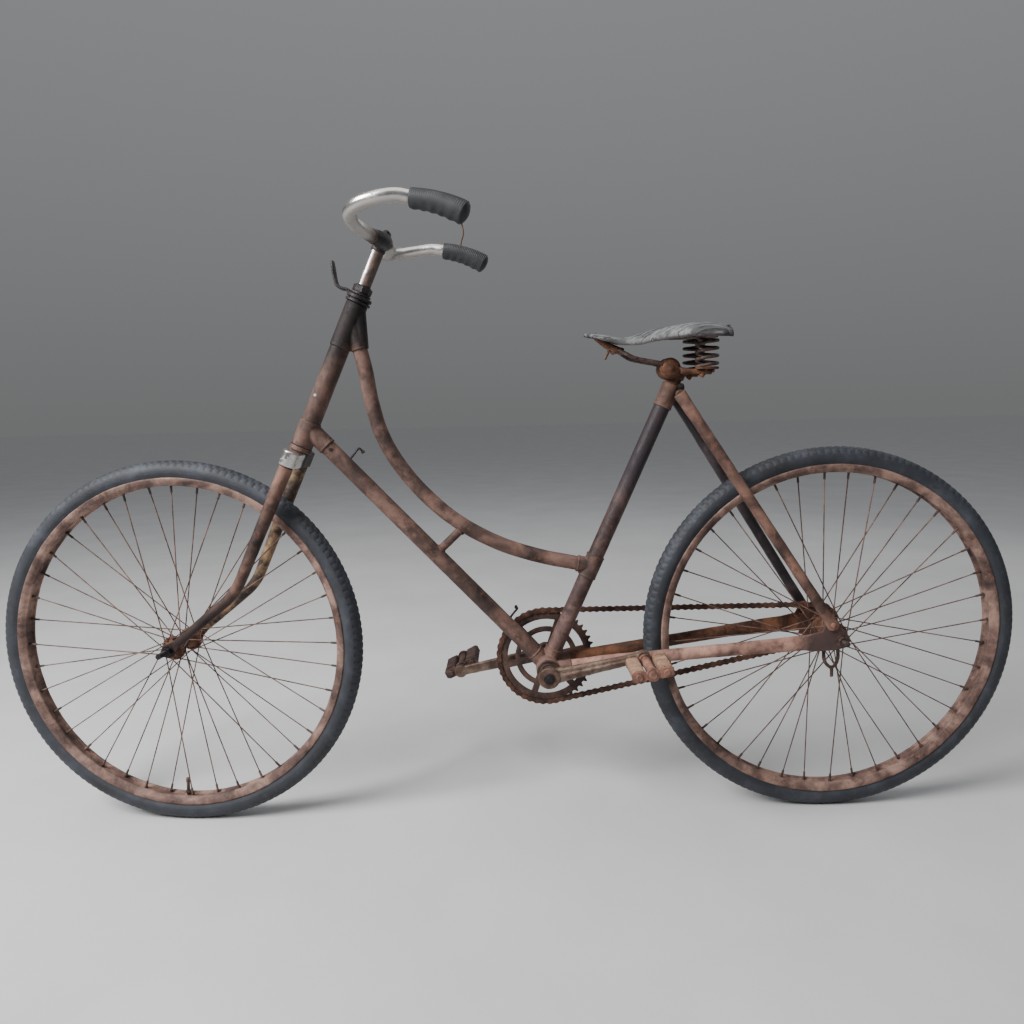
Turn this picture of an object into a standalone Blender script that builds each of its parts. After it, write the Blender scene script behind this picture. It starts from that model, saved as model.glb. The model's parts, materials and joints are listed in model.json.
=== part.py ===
# A rusty step-through roadster bicycle, built from its frame tubes, lugs, wheels, chain and saddle.
# Metres. +X runs to the bicycle's front, +Y to its left and +Z up.
# Every place is measured from the ground under the rear axle. The empty ground_datum carries all
# of it, and sets the part's own origin on top of the saddle, where the rider sits.
import math

import bmesh
import bpy
from mathutils import Quaternion, Vector

# General clearances
GAP = 0.0003                    # between pieces that touch
RUNNING_GAP = 0.0005            # between a piece that turns and what carries it

# Wheels: radii from the axle, widths across it
WHEEL_R = 0.332                 # outside of the tyre
WHEELBASE = 1.1683
TYRE_W = 0.037
TYRE_DEPTH = 0.035              # from the tread down to the rim's bed
TYRE_SIDE_ANGLE = math.radians(112)     # how far round its section is round, from the tread
TYRE_SIDE_STEPS = 4
RIM_W = 0.034
RIM_WALL = 0.0025
RIM_FLANGE_H = 0.0055           # of the flanges above the bed
RIM_SHOULDER_H = 0.0020         # of the sides below the bed
RIM_WELL_H = 0.0085             # from the bed down to the inner side
RIM_BED_R = WHEEL_R - TYRE_DEPTH
RIM_FLANGE_R = RIM_BED_R + RIM_FLANGE_H
RIM_SHOULDER_R = RIM_BED_R - RIM_SHOULDER_H
RIM_INNER_R = RIM_BED_R - RIM_WELL_H
RIM_INNER_W = 0.020
WHEEL_STEPS = 54
SPOKES = 40
SPOKE_D = 0.0022
SPOKE_STAGGER = 0.0013          # how far a spoke starts from the middle of its flange
NIPPLE_STAGGER = 0.0030         # how far it ends from the middle of the rim
FRONT_CROSSINGS = 3
REAR_CROSSINGS = 4
FLANGE_T = 0.0056
FRONT_FLANGE_R = 0.0215
FRONT_FLANGE_Y = 0.031
FRONT_BARREL_R = 0.0125
REAR_FLANGE_R = 0.0235
REAR_FLANGE_LEFT_Y = 0.032
REAR_FLANGE_RIGHT_Y = -0.024
REAR_BARREL_R = 0.0165
REAR_NECK_STEP = 0.002          # of the rear hub's neck below its barrel
HUB_TO_CHAIN = 0.005            # from the chain to the right end of the rear hub
SPOKE_EDGE = 0.0035             # from the flange's edge in to the spoke holes

# Axles and their nuts
AXLE_R = 0.0048
AXLE_HALF = 0.085
NUT_R = 0.0092                  # across the corners of the hexagon
NUT_T = 0.0085
CONE_R = 0.0085
FRONT_TIP_Y = 0.0475            # inner face of a fork tip
REAR_TIP_Y = 0.0575             # inner face of a rear dropout
TIP_T = 0.005
HUB_END = 0.007                 # from a tip's inner face to the end of the hub shell

# Steering head
HEAD_ANGLE = math.radians(65.48)
HEAD_X = 1.0901                 # where the steering axis passes the height of the front axle
STEER_REST = math.radians(-3.73)
CROWN_T = 0.0335
LOWER_LUG_L = 0.0550            # from the crown up to the head tube, with the lower cup
HEAD_TUBE_L = 0.1365
UPPER_LUG_L = 0.080
CROWN_LOW = 0.345               # places along the steering axis, from the axle's height
CROWN_TOP = CROWN_LOW + CROWN_T
LOWER_LUG_TOP = CROWN_TOP + LOWER_LUG_L
UPPER_LUG_LOW = LOWER_LUG_TOP + HEAD_TUBE_L
UPPER_LUG_TOP = UPPER_LUG_LOW + UPPER_LUG_L
LOWER_CUP_T = 0.0080
UPPER_CUP_T = 0.013
LOCKNUT_T = 0.022
HEAD_TUBE_R = 0.0168
HEAD_LUG_R = 0.0185
CUP_R = 0.0205
LOCKNUT_R = 0.0165
STEM_R = 0.0111

# Fork
BLADE_TOP_R = 0.0120
BLADE_TIP_R = 0.0075
BLADE_TOP_Y = 0.0365
BLADE_NECK = 0.012              # straight length under the crown
BLADE_SHORT = 0.012             # from the axle to the end of the round blade
FORK_TIP_R = 0.0125
FORK_TIP_L = 0.020              # of the flat tip, from the axle into the blade
FORK_TIP_NECK = 0.0065          # half its width inside the blade
FORK_BEND_S = 0.1105            # where the two straight lines of a blade meet, along the axis
FORK_BEND_R = 0.110
CROWN_HALF_WIDTH = 0.0555
CROWN_R = 0.0195

# Lamp bracket: its strip's middle line, forward and up from the locknut
LAMP_STRIP = ((0.0100, 0.0000), (0.0340, 0.0040), (0.0400, 0.0080), (0.0445, 0.0500))
LAMP_STRIP_W = 0.016
LAMP_STRIP_T = 0.0032

# Frame tubes
BB_X = 0.506
BB_Z = 0.2788
BB_SHELL_R = 0.0212
BB_SHELL_HALF = 0.034
DOWN_TUBE_R = 0.0143
SEAT_TUBE_R = 0.0143
LOOP_TUBE_R = 0.0127
LUG_WALL = 0.0018
SEAT_ANGLE = math.radians(65.9)
SEAT_TUBE_TOP = 0.545           # along the seat tube from the crank axle
SEAT_LUG_LOW = 0.508
SOCKET_HEAD_DOWN = 0.046        # length of each socket, from where the tubes' axes meet
SOCKET_HEAD_LOOP = 0.056
SOCKET_START = 0.010            # where the lower socket starts, inside its lug
SOCKET_BB = 0.034
SOCKET_MIDDLE = 0.026
MIDDLE_LUG_HALF = 0.021
DOWN_TUBE_BELOW = 0.0123        # of its axis below its lug's top, on the steering axis
LOOP_BELOW = 0.0249
DOWN_TUBE_MEETS = LOWER_LUG_TOP - DOWN_TUBE_BELOW
LOOP_MEETS = UPPER_LUG_TOP - LOOP_BELOW
LOOP_END = 0.1985               # where it meets the seat tube, from the crank axle
LOOP_POINTS = (                 # x, z of the loop tube's axis between its two lugs
    (0.8110, 0.8090), (0.8035, 0.7590), (0.7880, 0.7010), (0.7590, 0.6465), (0.7140, 0.5915),
    (0.6570, 0.5425), (0.5870, 0.5040), (0.5160, 0.4800),
)
BRIDGE_AT = 0.286               # along the down tube from the crank axle
BRIDGE_R = 0.0075
SEAT_BOLT_AT = (0.004, 0.012)   # ahead of the seat stays' tops and above them
SEAT_BOLT_R = 0.0095

# Rear stays and dropouts
CHAINSTAY_R = 0.0105
CHAINSTAY_START = (0.465, 0.0235, 0.2840)
CHAINSTAY_BEND = (0.400, 0.0265, 0.2925)
CHAINSTAY_END = (0.110, 0.0575, 0.3245)
SEATSTAY_R = 0.0098
SEATSTAY_TIP_R = 0.0085
SEATSTAY_TOP = (0.2660, 0.0255, 0.7460)
SEATSTAY_END = (0.0360, 0.0630, 0.3890)
EYE_BOLT = (0.0180, 0.3610)     # x, z of the bolt that holds a seat stay to its dropout
EYE_R = 0.0095
TAB_T = 0.004
TAB_L = 0.048                   # of a seat stay's flat end, from its bolt
TAB_TAPER = 0.7                 # its far end's share of its width
DROPOUT_TAIL_L = 0.050          # ahead of the chain stay's bent end
DROPOUT_TAIL = (-0.012, 0.004)  # its lower and upper edge there, from the stay's middle
DROPOUT_UPPER = ((0.0600, 0.0125), (0.0360, 0.0150))    # x, z from the rear axle
DROPOUT_BACK = ((-0.0130, 0.0120), (-0.0160, 0.0000), (-0.0130, -0.0140), (0.0500, -0.0190))

# Cranks, chainring and chain
CRANK_LENGTH = 0.1665
CRANK_REST = math.radians(168.3)
CRANK_INNER_Y = 0.062
CRANK_T = 0.012
CRANK_BOSS_R = 0.0195
RING_BOSS_R = 0.0175            # of the boss that carries the chainring
CRANK_EYE_R = 0.0115
CRANK_WAIST = 0.0085
CRANK_NECK_AT = 0.030           # where the arm leaves its boss
CRANK_NECK_OVER = 0.003         # how much wider it is there
SPINDLE_R = 0.0080
CHAIN_PITCH = 0.0127
CHAINRING_TEETH = 44
SPROCKET_TEETH = 18
CHAINLINE_Y = -0.045
CHAINRING_T = 0.003
TOOTH_OVER = 0.0014             # of a tooth's tip beyond the pitch circle
SPROCKET_TOOTH_OVER = 0.0004
TOOTH_UNDER = 0.0038            # of the tooth gap inside it
CHAINRING_ARMS = 6
CHAINRING_ARM_AT = math.radians(15)
CHAINRING_ARM_W = 0.012
CHAINRING_WINDOW_R = (0.0240, 0.0435, 0.0550, 0.0670)   # inner windows' radii, then outer ones'
CHAIN_HALF_W = 0.0037
CHAIN_PLATE_H = 0.0042
CHAIN_WAIST_H = 0.0031
CHAIN_SLOT_HALF = 0.0019
CHAIN_SLOT_TOP = 0.0021

# Pedals
PEDAL_START_Y = 0.0748          # first face beyond the crank
PEDAL_PLATE_Y = (0.0860, 0.1540)
PEDAL_PLATE_T = 0.003
PEDAL_END_Y = 0.1610
PEDAL_TUBE_R = 0.0080
PEDAL_BLOCK_AT = 0.0225         # middle of a block from the pedal's axle
PEDAL_BLOCK_W = 0.0240
PEDAL_BLOCK_H = 0.0200
PEDAL_PLATE_H = 0.0170
PEDAL_TILT = {"left": math.radians(10), "right": math.radians(27)}

# Handlebar and grips: x, y, z of the left half's places when the wheel points ahead
BAR_R = 0.0111
BAR_POINTS = (
    (0.7690, 0.0000, 1.0230), (0.7680, 0.0300, 1.0195), (0.7790, 0.0600, 1.0205),
    (0.7910, 0.1000, 1.0260), (0.7905, 0.1330, 1.0335), (0.7720, 0.1530, 1.0400),
    (0.7440, 0.1605, 1.0450), (0.7150, 0.1600, 1.0480), (0.6930, 0.1570, 1.0445),
)
BAR_END = 0.008                 # straight end of the bar, in line with its grip
GRIP_END = (0.6080, 0.1640, 1.0160)
GRIP_R = 0.0150
GRIP_END_R = 0.0172
GRIP_STATIONS = (               # share of its length, radius
    (0.0, GRIP_R), (0.2, GRIP_R), (0.4, 0.0155), (0.6, 0.0160), (0.8, 0.0165),
    (0.95, GRIP_END_R), (1.0, GRIP_R),
)
CLAMP_R = 0.0175
CLAMP_HALF = 0.016

# Saddle: the leather's stations from nose to back
SADDLE_X = 0.245                # the rider's place on top of the saddle
# columns: x, half width, height of the middle, drop of the edge
SADDLE_STATIONS = (
    (0.4340, 0.0080, 0.8640, 0.0060),
    (0.4230, 0.0190, 0.8640, 0.0110),
    (0.4020, 0.0240, 0.8600, 0.0150),
    (0.3760, 0.0280, 0.8575, 0.0160),
    (0.3480, 0.0380, 0.8630, 0.0160),
    (0.3180, 0.0560, 0.8710, 0.0180),
    (0.2800, 0.0800, 0.8780, 0.0200),
    (0.2450, 0.0930, 0.8820, 0.0230),
    (0.2150, 0.0930, 0.8805, 0.0230),
    (0.1920, 0.0780, 0.8745, 0.0180),
    (0.1800, 0.0480, 0.8690, 0.0120),
)
SADDLE_ACROSS = 8
SADDLE_T = 0.0045
SADDLE_PLATE_X = (0.2650, 0.2400, 0.2150, 0.2060)
SADDLE_PLATE_SHARE = 0.66       # of the leather's width
SADDLE_PLATE_T = 0.002
SADDLE_PLATE_DROP = 0.0064      # below the leather's upper side
SADDLE_SPRING_DROP = 0.0092
SADDLE_NOSE = (                 # x, z outline of the strip from the rail to the nose
    (0.3837, 0.8410), (0.3990, 0.8510), (0.4200, 0.8580), (0.4200, 0.8545),
    (0.4020, 0.8475), (0.3837, 0.8350),
)
SADDLE_NOSE_W = 0.020
SADDLE_CLAMP = (0.2900, 0.8030) # x, z of its bolt
SADDLE_CLAMP_R = 0.0180
SADDLE_CLAMP_HALF = 0.0155
SEAT_POST_R = 0.0125
COLLAR_T = 0.020
COLLAR_WALL = 0.003
SPRING_X = 0.2350
SPRING_Y = 0.0450
SPRING_R = 0.0170
SPRING_WIRE_R = 0.0028
SPRING_TURNS = 5
SPRING_STEPS = 8                # points to a turn
SPRING_LOW = 0.8000
RAIL_R = 0.0034
RAIL_END = 0.012                # behind the spring's middle
RAIL_AHEAD = 0.020              # where the rail starts to bend, ahead of it
RAIL_BEND = (0.2650, 0.0290, 0.7990)
RAIL_CLAMP = ((0.2790, 0.8035), (0.3080, 0.8120))       # x, z where it passes the clamp
RAIL_NOSE = ((0.3480, 0.0190, 0.8205), (0.3640, 0.0170, 0.8280), (0.3780, 0.0080, 0.8370))


def new_collection(name):
    """Make a collection in the scene."""
    collection = bpy.data.collections.new(name)
    bpy.context.scene.collection.children.link(collection)
    return collection


def new_material(name, color, roughness, metallic):
    """Make a Principled material."""
    material = bpy.data.materials.new(name)
    material.use_nodes = True
    shader = material.node_tree.nodes["Principled BSDF"]
    shader.inputs["Base Color"].default_value = (*color, 1.0)
    shader.inputs["Roughness"].default_value = roughness
    shader.inputs["Metallic"].default_value = metallic
    return material


def new_empty(name, parent, location, rotation=Quaternion()):
    """Make an empty that carries pieces."""
    empty = bpy.data.objects.new(name, None)
    empty.rotation_mode = "QUATERNION"
    empty.location = location
    empty.rotation_quaternion = rotation
    empty.parent = parent
    PARTS.objects.link(empty)
    return empty


def place(obj, material, parent, location=(0, 0, 0), rotation=Quaternion()):
    """Put a new object in the bicycle, carried by parent."""
    if material:
        obj.data.materials.append(material)
    obj.rotation_mode = "QUATERNION"
    obj.location = location
    obj.rotation_quaternion = rotation
    obj.parent = parent
    PARTS.objects.link(obj)
    return obj


def along(direction):
    """The rotation that lays an object's own Z along direction."""
    return Vector((0, 0, 1)).rotation_difference(Vector(direction))


ACROSS = along((0, 1, 0))                           # own Z to the bicycle's left
SIDE_ON = Quaternion((1, 0, 0), math.radians(90))   # own X forward, own Y up


def smooth(mesh, angle=35):
    """Shade a round piece smooth, with its edges kept sharp."""
    mesh.shade_smooth()
    mesh.set_sharp_from_angle(angle=math.radians(angle))


def mesh_of(curve_object):
    """Turn an unplaced curve object into a closed mesh and remove the curve."""
    bpy.context.scene.collection.objects.link(curve_object)
    graph = bpy.context.evaluated_depsgraph_get()
    mesh = bpy.data.meshes.new_from_object(curve_object.evaluated_get(graph))
    bpy.data.objects.remove(curve_object)
    shape = bmesh.new()
    shape.from_mesh(mesh)
    bmesh.ops.remove_doubles(shape, verts=shape.verts, dist=0.00001)
    bmesh.ops.recalc_face_normals(shape, faces=shape.faces)
    shape.to_mesh(mesh)
    shape.free()
    smooth(mesh)
    return mesh


def tube_mesh(name, points, radii, resolution=4, closed=False):
    """A round tube along points; radii is one radius, or one for each point."""
    if isinstance(radii, float):
        radii = [radii] * len(points)
    curve = bpy.data.curves.new(name, "CURVE")
    curve.dimensions = "3D"
    curve.bevel_depth = radii[0]
    curve.bevel_resolution = resolution
    curve.use_fill_caps = not closed
    spline = curve.splines.new("POLY")
    spline.points.add(len(points) - 1)
    for target, point, radius in zip(spline.points, points, radii):
        target.co = (*point, 1.0)
        target.radius = radius / radii[0]
    spline.use_cyclic_u = closed
    return mesh_of(bpy.data.objects.new(name, curve))


def plate_mesh(name, outlines, thickness):
    """A flat plate in its own XY plane; outlines after the first are its holes."""
    curve = bpy.data.curves.new(name, "CURVE")
    curve.dimensions = "2D"
    curve.fill_mode = "BOTH"
    curve.extrude = thickness / 2
    for outline in outlines:
        spline = curve.splines.new("POLY")
        spline.points.add(len(outline) - 1)
        for target, point in zip(spline.points, outline):
            target.co = (point[0], point[1], 0, 1)
        spline.use_cyclic_u = True
    return mesh_of(bpy.data.objects.new(name, curve))


def turned_object(name, profile, steps=24, ring=False):
    """Turn a profile of (radius, height) pairs, top first, about its own Z."""
    mesh = bpy.data.meshes.new(name)
    edges = [(i, i + 1) for i in range(len(profile) - 1)]
    if ring:
        edges.append((len(profile) - 1, 0))
    mesh.from_pydata([(r, 0, z) for r, z in profile], edges, [])
    obj = bpy.data.objects.new(name, mesh)
    screw = obj.modifiers.new("turn", "SCREW")
    screw.axis = "Z"
    screw.steps = steps
    screw.render_steps = steps
    screw.use_merge_vertices = True
    screw.merge_threshold = 0.00001
    return obj


def rod_profile(radius, low, high):
    """The profile of a plain rod from low to high."""
    return [(0, high), (radius, high), (radius, low), (0, low)]


def box_mesh(name, size):
    """A box about its own middle."""
    mesh = bpy.data.meshes.new(name)
    shape = bmesh.new()
    bmesh.ops.create_cube(shape, size=1.0)
    bmesh.ops.scale(shape, vec=size, verts=shape.verts)
    shape.to_mesh(mesh)
    shape.free()
    return mesh


def prism_mesh(name, radius, length, sides):
    """A prism or cylinder about its own Z."""
    mesh = bpy.data.meshes.new(name)
    shape = bmesh.new()
    bmesh.ops.create_cone(
        shape, cap_ends=True, segments=sides, radius1=radius, radius2=radius, depth=length)
    shape.to_mesh(mesh)
    shape.free()
    return mesh


def boolean(target, tool, operation):
    """Join a tool to a piece or cut it away; the tool stays as a hidden guide."""
    PARTS.objects.unlink(tool)
    CUTTERS.objects.link(tool)
    tool.hide_render = True
    tool.display_type = "WIRE"
    modifier = target.modifiers.new(tool.name, "BOOLEAN")
    modifier.operation = operation
    modifier.solver = "EXACT"
    modifier.object = tool


def tool_rod(name, parent, start, end, radius, sides=20):
    """A straight rod from start to end, for joining or cutting."""
    start = Vector(start)
    end = Vector(end)
    mesh = prism_mesh(name, radius, (end - start).length, sides)
    return place(bpy.data.objects.new(name, mesh), None, parent, (start + end) / 2, along(end - start))


def rounded_path(points, radii, step=math.radians(9)):
    """Points along straight lines whose corners are arcs of the given radii."""
    points = [Vector(p) for p in points]
    path = [points[0]]
    for before, corner, after, radius in zip(points, points[1:], points[2:], radii):
        to_before = (before - corner).normalized()
        to_after = (after - corner).normalized()
        opening = to_before.angle(to_after)
        reach = radius / math.tan(opening / 2)
        middle = corner + (to_before + to_after).normalized() * radius / math.sin(opening / 2)
        turn = math.pi - opening
        first = corner + to_before * reach - middle
        spin_axis = to_before.cross(to_after).normalized() * -1
        count = max(2, round(turn / step))
        for i in range(count + 1):
            spin = Quaternion(spin_axis, turn * i / count)
            path.append(middle + spin @ first)
    path.append(points[-1])
    return path


def smooth_path(points, per_span=4):
    """A Catmull-Rom curve through points."""
    points = [Vector(p) for p in points]
    padded = [points[0] * 2 - points[1]] + points + [points[-1] * 2 - points[-2]]
    path = []
    for a, b, c, d in zip(padded, padded[1:], padded[2:], padded[3:]):
        for i in range(per_span):
            t = i / per_span
            path.append(0.5 * (2 * b + (c - a) * t + (2 * a - 5 * b + 4 * c - d) * t * t
                               + (3 * b - a - 3 * c + d) * t ** 3))
    path.append(points[-1])
    return path


def circle(radius, count, start=0.0, turn=2 * math.pi, centre=(0, 0), closed=True):
    """Points round a circle or an arc."""
    last = count if closed else count - 1
    return [(centre[0] + radius * math.cos(start + turn * i / last),
             centre[1] + radius * math.sin(start + turn * i / last)) for i in range(count)]


# Places that follow from the driving dimensions
HEAD_DIRECTION = Vector((-math.cos(HEAD_ANGLE), 0, math.sin(HEAD_ANGLE)))
SEAT_DIRECTION = Vector((-math.cos(SEAT_ANGLE), 0, math.sin(SEAT_ANGLE)))
BB = Vector((BB_X, 0, BB_Z))
REAR_AXLE = Vector((0, 0, WHEEL_R))
FRONT_AXLE = Vector((WHEELBASE, 0, WHEEL_R))


def head(along_axis):
    """A place on the steering axis, from the height of the front axle."""
    return Vector((HEAD_X, 0, WHEEL_R)) + HEAD_DIRECTION * along_axis


def seat_tube(along_axis):
    """A place on the seat tube's axis, from the crank axle."""
    return BB + SEAT_DIRECTION * along_axis


def pitch_radius(teeth):
    """The radius of the circle that the chain's pins follow."""
    return CHAIN_PITCH / 2 / math.sin(math.pi / teeth)


def add_tyre(name, parent):
    """A tyre: a round section that narrows to a bead between the rim's flanges."""
    section_r = TYRE_W / 2
    centre_r = WHEEL_R - section_r
    bead = RIM_W / 2 - RIM_WALL - GAP
    angles = [TYRE_SIDE_ANGLE * (1 - i / TYRE_SIDE_STEPS) for i in range(2 * TYRE_SIDE_STEPS + 1)]
    profile = [(centre_r + section_r * math.cos(a), section_r * math.sin(a)) for a in angles]
    profile.append((RIM_FLANGE_R + GAP, -bead))
    profile.append((RIM_BED_R + GAP, -bead))
    profile.append((RIM_BED_R + GAP, bead))
    profile.append((RIM_FLANGE_R + GAP, bead))
    place(turned_object(name, profile, WHEEL_STEPS, ring=True), MATERIALS["tyre"], parent,
          rotation=ACROSS)


def add_rim(name, parent):
    """A steel rim: two flanges, a bed between them and a rounded inner side."""
    half = RIM_W / 2
    inside = half - RIM_WALL
    inner = RIM_INNER_W / 2
    profile = [
        (RIM_FLANGE_R, half), (RIM_FLANGE_R, inside), (RIM_BED_R, inside),
        (RIM_BED_R, -inside), (RIM_FLANGE_R, -inside), (RIM_FLANGE_R, -half),
        (RIM_SHOULDER_R, -half), (RIM_INNER_R, -inner), (RIM_INNER_R, inner), (RIM_SHOULDER_R, half),
    ]
    place(turned_object(name, profile, WHEEL_STEPS, ring=True), MATERIALS["rim"], parent,
          rotation=ACROSS)


def hub_profile(left_y, right_y, flange_r, barrel_r, left_end, right_end, neck_r):
    """The ring profile of a hub shell, from its left end to its right."""
    bore = AXLE_R + RUNNING_GAP
    half = FLANGE_T / 2
    return [
        (neck_r, left_end), (neck_r, left_y + half), (flange_r, left_y + half),
        (flange_r, left_y - half), (barrel_r, left_y - 2 * half), (barrel_r, right_y + 2 * half),
        (flange_r, right_y + half), (flange_r, right_y - half), (neck_r, right_y - half),
        (neck_r, right_end), (bore, right_end), (bore, left_end),
    ]


def spoke_shape(name, left_y, right_y, flange_r, crossings):
    """All the spokes of one wheel as one mesh of separate square rods."""
    shape = bmesh.new()
    start_r = flange_r - SPOKE_EDGE
    end_r = RIM_INNER_R * math.cos(math.pi / WHEEL_STEPS) - 2 * GAP
    side_count = SPOKES // 2
    hole_step = 2 * math.pi / side_count
    for side, flange_y in ((1, left_y), (-1, right_y)):
        for i in range(side_count):
            lead = 1 if i % 2 else -1
            hub_angle = hole_step * i + (hole_step / 2 if side < 0 else 0)
            rim_angle = hub_angle + lead * crossings * hole_step
            start = Vector((start_r * math.cos(hub_angle), start_r * math.sin(hub_angle),
                            flange_y + lead * SPOKE_STAGGER))
            end = Vector((end_r * math.cos(rim_angle), end_r * math.sin(rim_angle),
                          side * NIPPLE_STAGGER))
            run = end - start
            turn = along(run).to_matrix().to_4x4()
            turn.translation = (start + end) / 2
            bmesh.ops.create_cone(shape, cap_ends=True, segments=4, radius1=SPOKE_D / 2,
                                  radius2=SPOKE_D / 2, depth=run.length, matrix=turn)
    mesh = bpy.data.meshes.new(name)
    shape.to_mesh(mesh)
    shape.free()
    return mesh


def add_hub(name, parent, profile, left_y, right_y, flange_r, crossings):
    """A hub shell with its spokes fused to its flanges."""
    hub = place(turned_object(name, profile, 24, ring=True), MATERIALS["spokes"], parent,
                rotation=ACROSS)
    rods = place(bpy.data.objects.new(name + "_rods", spoke_shape(
        name + "_rods", left_y, right_y, flange_r, crossings)), None, parent, rotation=ACROSS)
    boolean(hub, rods, "UNION")


def add_axle(name, parent, tip_y, cone_outer):
    """An axle with its cones inside the tips and its nuts outside them."""
    axle = place(turned_object(name, rod_profile(AXLE_R, -AXLE_HALF, AXLE_HALF), 16),
                 MATERIALS["axle"], parent, rotation=ACROSS)
    for side, word in ((1, "left"), (-1, "right")):
        nut_y = side * (tip_y + TIP_T + GAP + NUT_T / 2)
        nut = place(bpy.data.objects.new(f"{name}_nut_{word}", prism_mesh(name, NUT_R, NUT_T, 6)),
                    None, parent, (0, nut_y, 0), ACROSS)
        boolean(axle, nut, "UNION")
        inner = side * cone_outer[word]
        outer = side * (tip_y - GAP)
        cone = tool_rod(f"{name}_cone_{word}", parent, (0, inner, 0), (0, outer, 0), CONE_R, 12)
        boolean(axle, cone, "UNION")


def add_wheels(rear, front, ground, front_place):
    """Both wheels with their hubs, and the axles that carry them."""
    for word, parent in (("rear", rear), ("front", front)):
        add_tyre(f"{word}_tyre", parent)
        add_rim(f"{word}_rim", parent)
    end = FRONT_TIP_Y - HUB_END
    profile = hub_profile(FRONT_FLANGE_Y, -FRONT_FLANGE_Y, FRONT_FLANGE_R, FRONT_BARREL_R,
                          end, -end, CONE_R)
    add_hub("front_hub_and_spokes", front, profile, FRONT_FLANGE_Y, -FRONT_FLANGE_Y,
            FRONT_FLANGE_R, FRONT_CROSSINGS)
    left_end = REAR_TIP_Y - HUB_END
    right_end = CHAINLINE_Y + CHAIN_HALF_W + HUB_TO_CHAIN
    profile = hub_profile(REAR_FLANGE_LEFT_Y, REAR_FLANGE_RIGHT_Y, REAR_FLANGE_R, REAR_BARREL_R,
                          left_end, right_end, REAR_BARREL_R - REAR_NECK_STEP)
    add_hub("rear_hub_and_spokes", rear, profile, REAR_FLANGE_LEFT_Y, REAR_FLANGE_RIGHT_Y,
            REAR_FLANGE_R, REAR_CROSSINGS)
    add_axle("front_axle", front_place, FRONT_TIP_Y,
             {"left": end + RUNNING_GAP, "right": end + RUNNING_GAP})
    add_axle("rear_axle", new_empty("rear_axle_place", ground, REAR_AXLE), REAR_TIP_Y,
             {"left": left_end + RUNNING_GAP, "right": -CHAINLINE_Y + CHAINRING_T + GAP})


def add_head(ground):
    """Head tube, its lugs with their sockets, and the two cups."""
    turn = along(HEAD_DIRECTION)
    lug_low = CROWN_TOP + RUNNING_GAP + LOWER_CUP_T + GAP
    place(turned_object("head_tube", rod_profile(
        HEAD_TUBE_R, LOWER_LUG_TOP + GAP, UPPER_LUG_LOW - GAP)), MATERIALS["frame"], ground,
        head(0), turn)
    place(turned_object("headset_cup_lower", rod_profile(
        CUP_R, CROWN_TOP + RUNNING_GAP, lug_low - GAP)), MATERIALS["dark_steel"], ground,
        head(0), turn)
    place(turned_object("headset_cup_upper", rod_profile(
        CUP_R, UPPER_LUG_TOP + GAP, UPPER_LUG_TOP + GAP + UPPER_CUP_T)), MATERIALS["dark_steel"],
        ground, head(0), turn)
    lower = place(turned_object("head_lug_lower", rod_profile(
        HEAD_LUG_R, lug_low, LOWER_LUG_TOP)), MATERIALS["frame"], ground, head(0), turn)
    meets = head(DOWN_TUBE_MEETS)
    down = (BB - meets).normalized()
    boolean(lower, tool_rod("socket_down", ground, meets + down * SOCKET_START,
                            meets + down * SOCKET_HEAD_DOWN, DOWN_TUBE_R + LUG_WALL), "UNION")
    upper = place(turned_object("head_lug_upper", rod_profile(
        HEAD_LUG_R, UPPER_LUG_LOW, UPPER_LUG_TOP)), MATERIALS["dark_steel"], ground, head(0), turn)
    meets = head(LOOP_MEETS)
    boolean(upper, tool_rod("socket_loop", ground, meets,
                            meets + (loop_points()[1] - meets).normalized() * SOCKET_HEAD_LOOP,
                            LOOP_TUBE_R + LUG_WALL), "UNION")


def loop_points():
    """The loop tube's axis, from the steering axis to the seat tube's."""
    return [head(LOOP_MEETS), *[Vector((x, 0, z)) for x, z in LOOP_POINTS], seat_tube(LOOP_END)]


def trimmed(points, start_cut, end_cut):
    """A path with a length cut off the first and last straight."""
    points = [Vector(p) for p in points]
    points[0] = points[0] + (points[1] - points[0]).normalized() * start_cut
    points[-1] = points[-1] + (points[-2] - points[-1]).normalized() * end_cut
    return points


def add_main_tubes(ground):
    """Loop tube, down tube and the bridge between them."""
    path = smooth_path(trimmed(loop_points(), SOCKET_HEAD_LOOP + GAP, SOCKET_MIDDLE + GAP), 2)
    place(bpy.data.objects.new("loop_tube", tube_mesh("loop_tube", path, LOOP_TUBE_R)),
          MATERIALS["frame"], ground)
    top = head(DOWN_TUBE_MEETS)
    ends = trimmed([top, BB], SOCKET_HEAD_DOWN + GAP, SOCKET_BB + GAP)
    place(bpy.data.objects.new("down_tube", tube_mesh("down_tube", ends, DOWN_TUBE_R)),
          MATERIALS["frame"], ground)
    down = (top - BB).normalized()
    across = Vector((-down.z, 0, down.x))
    foot = BB + down * BRIDGE_AT
    near = min(path, key=lambda p: abs((p - foot).dot(down)))
    reach = (near - foot).dot(across)
    bridge = tool_rod("bridge_tube", ground, foot + across * DOWN_TUBE_R * 0.5,
                      foot + across * (reach - LOOP_TUBE_R * 0.5), BRIDGE_R, 16)
    bridge.data.materials.append(MATERIALS["frame"])
    smooth(bridge.data)
    beside = down * 4 * BRIDGE_R
    boolean(bridge, tool_rod("bridge_foot_cut", ground, foot - beside, foot + beside,
                             DOWN_TUBE_R + GAP, 32), "DIFFERENCE")
    guide = place(bpy.data.objects.new("bridge_top_cut", tube_mesh(
        "bridge_top_cut", path, LOOP_TUBE_R + GAP)), None, ground)
    boolean(bridge, guide, "DIFFERENCE")


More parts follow.
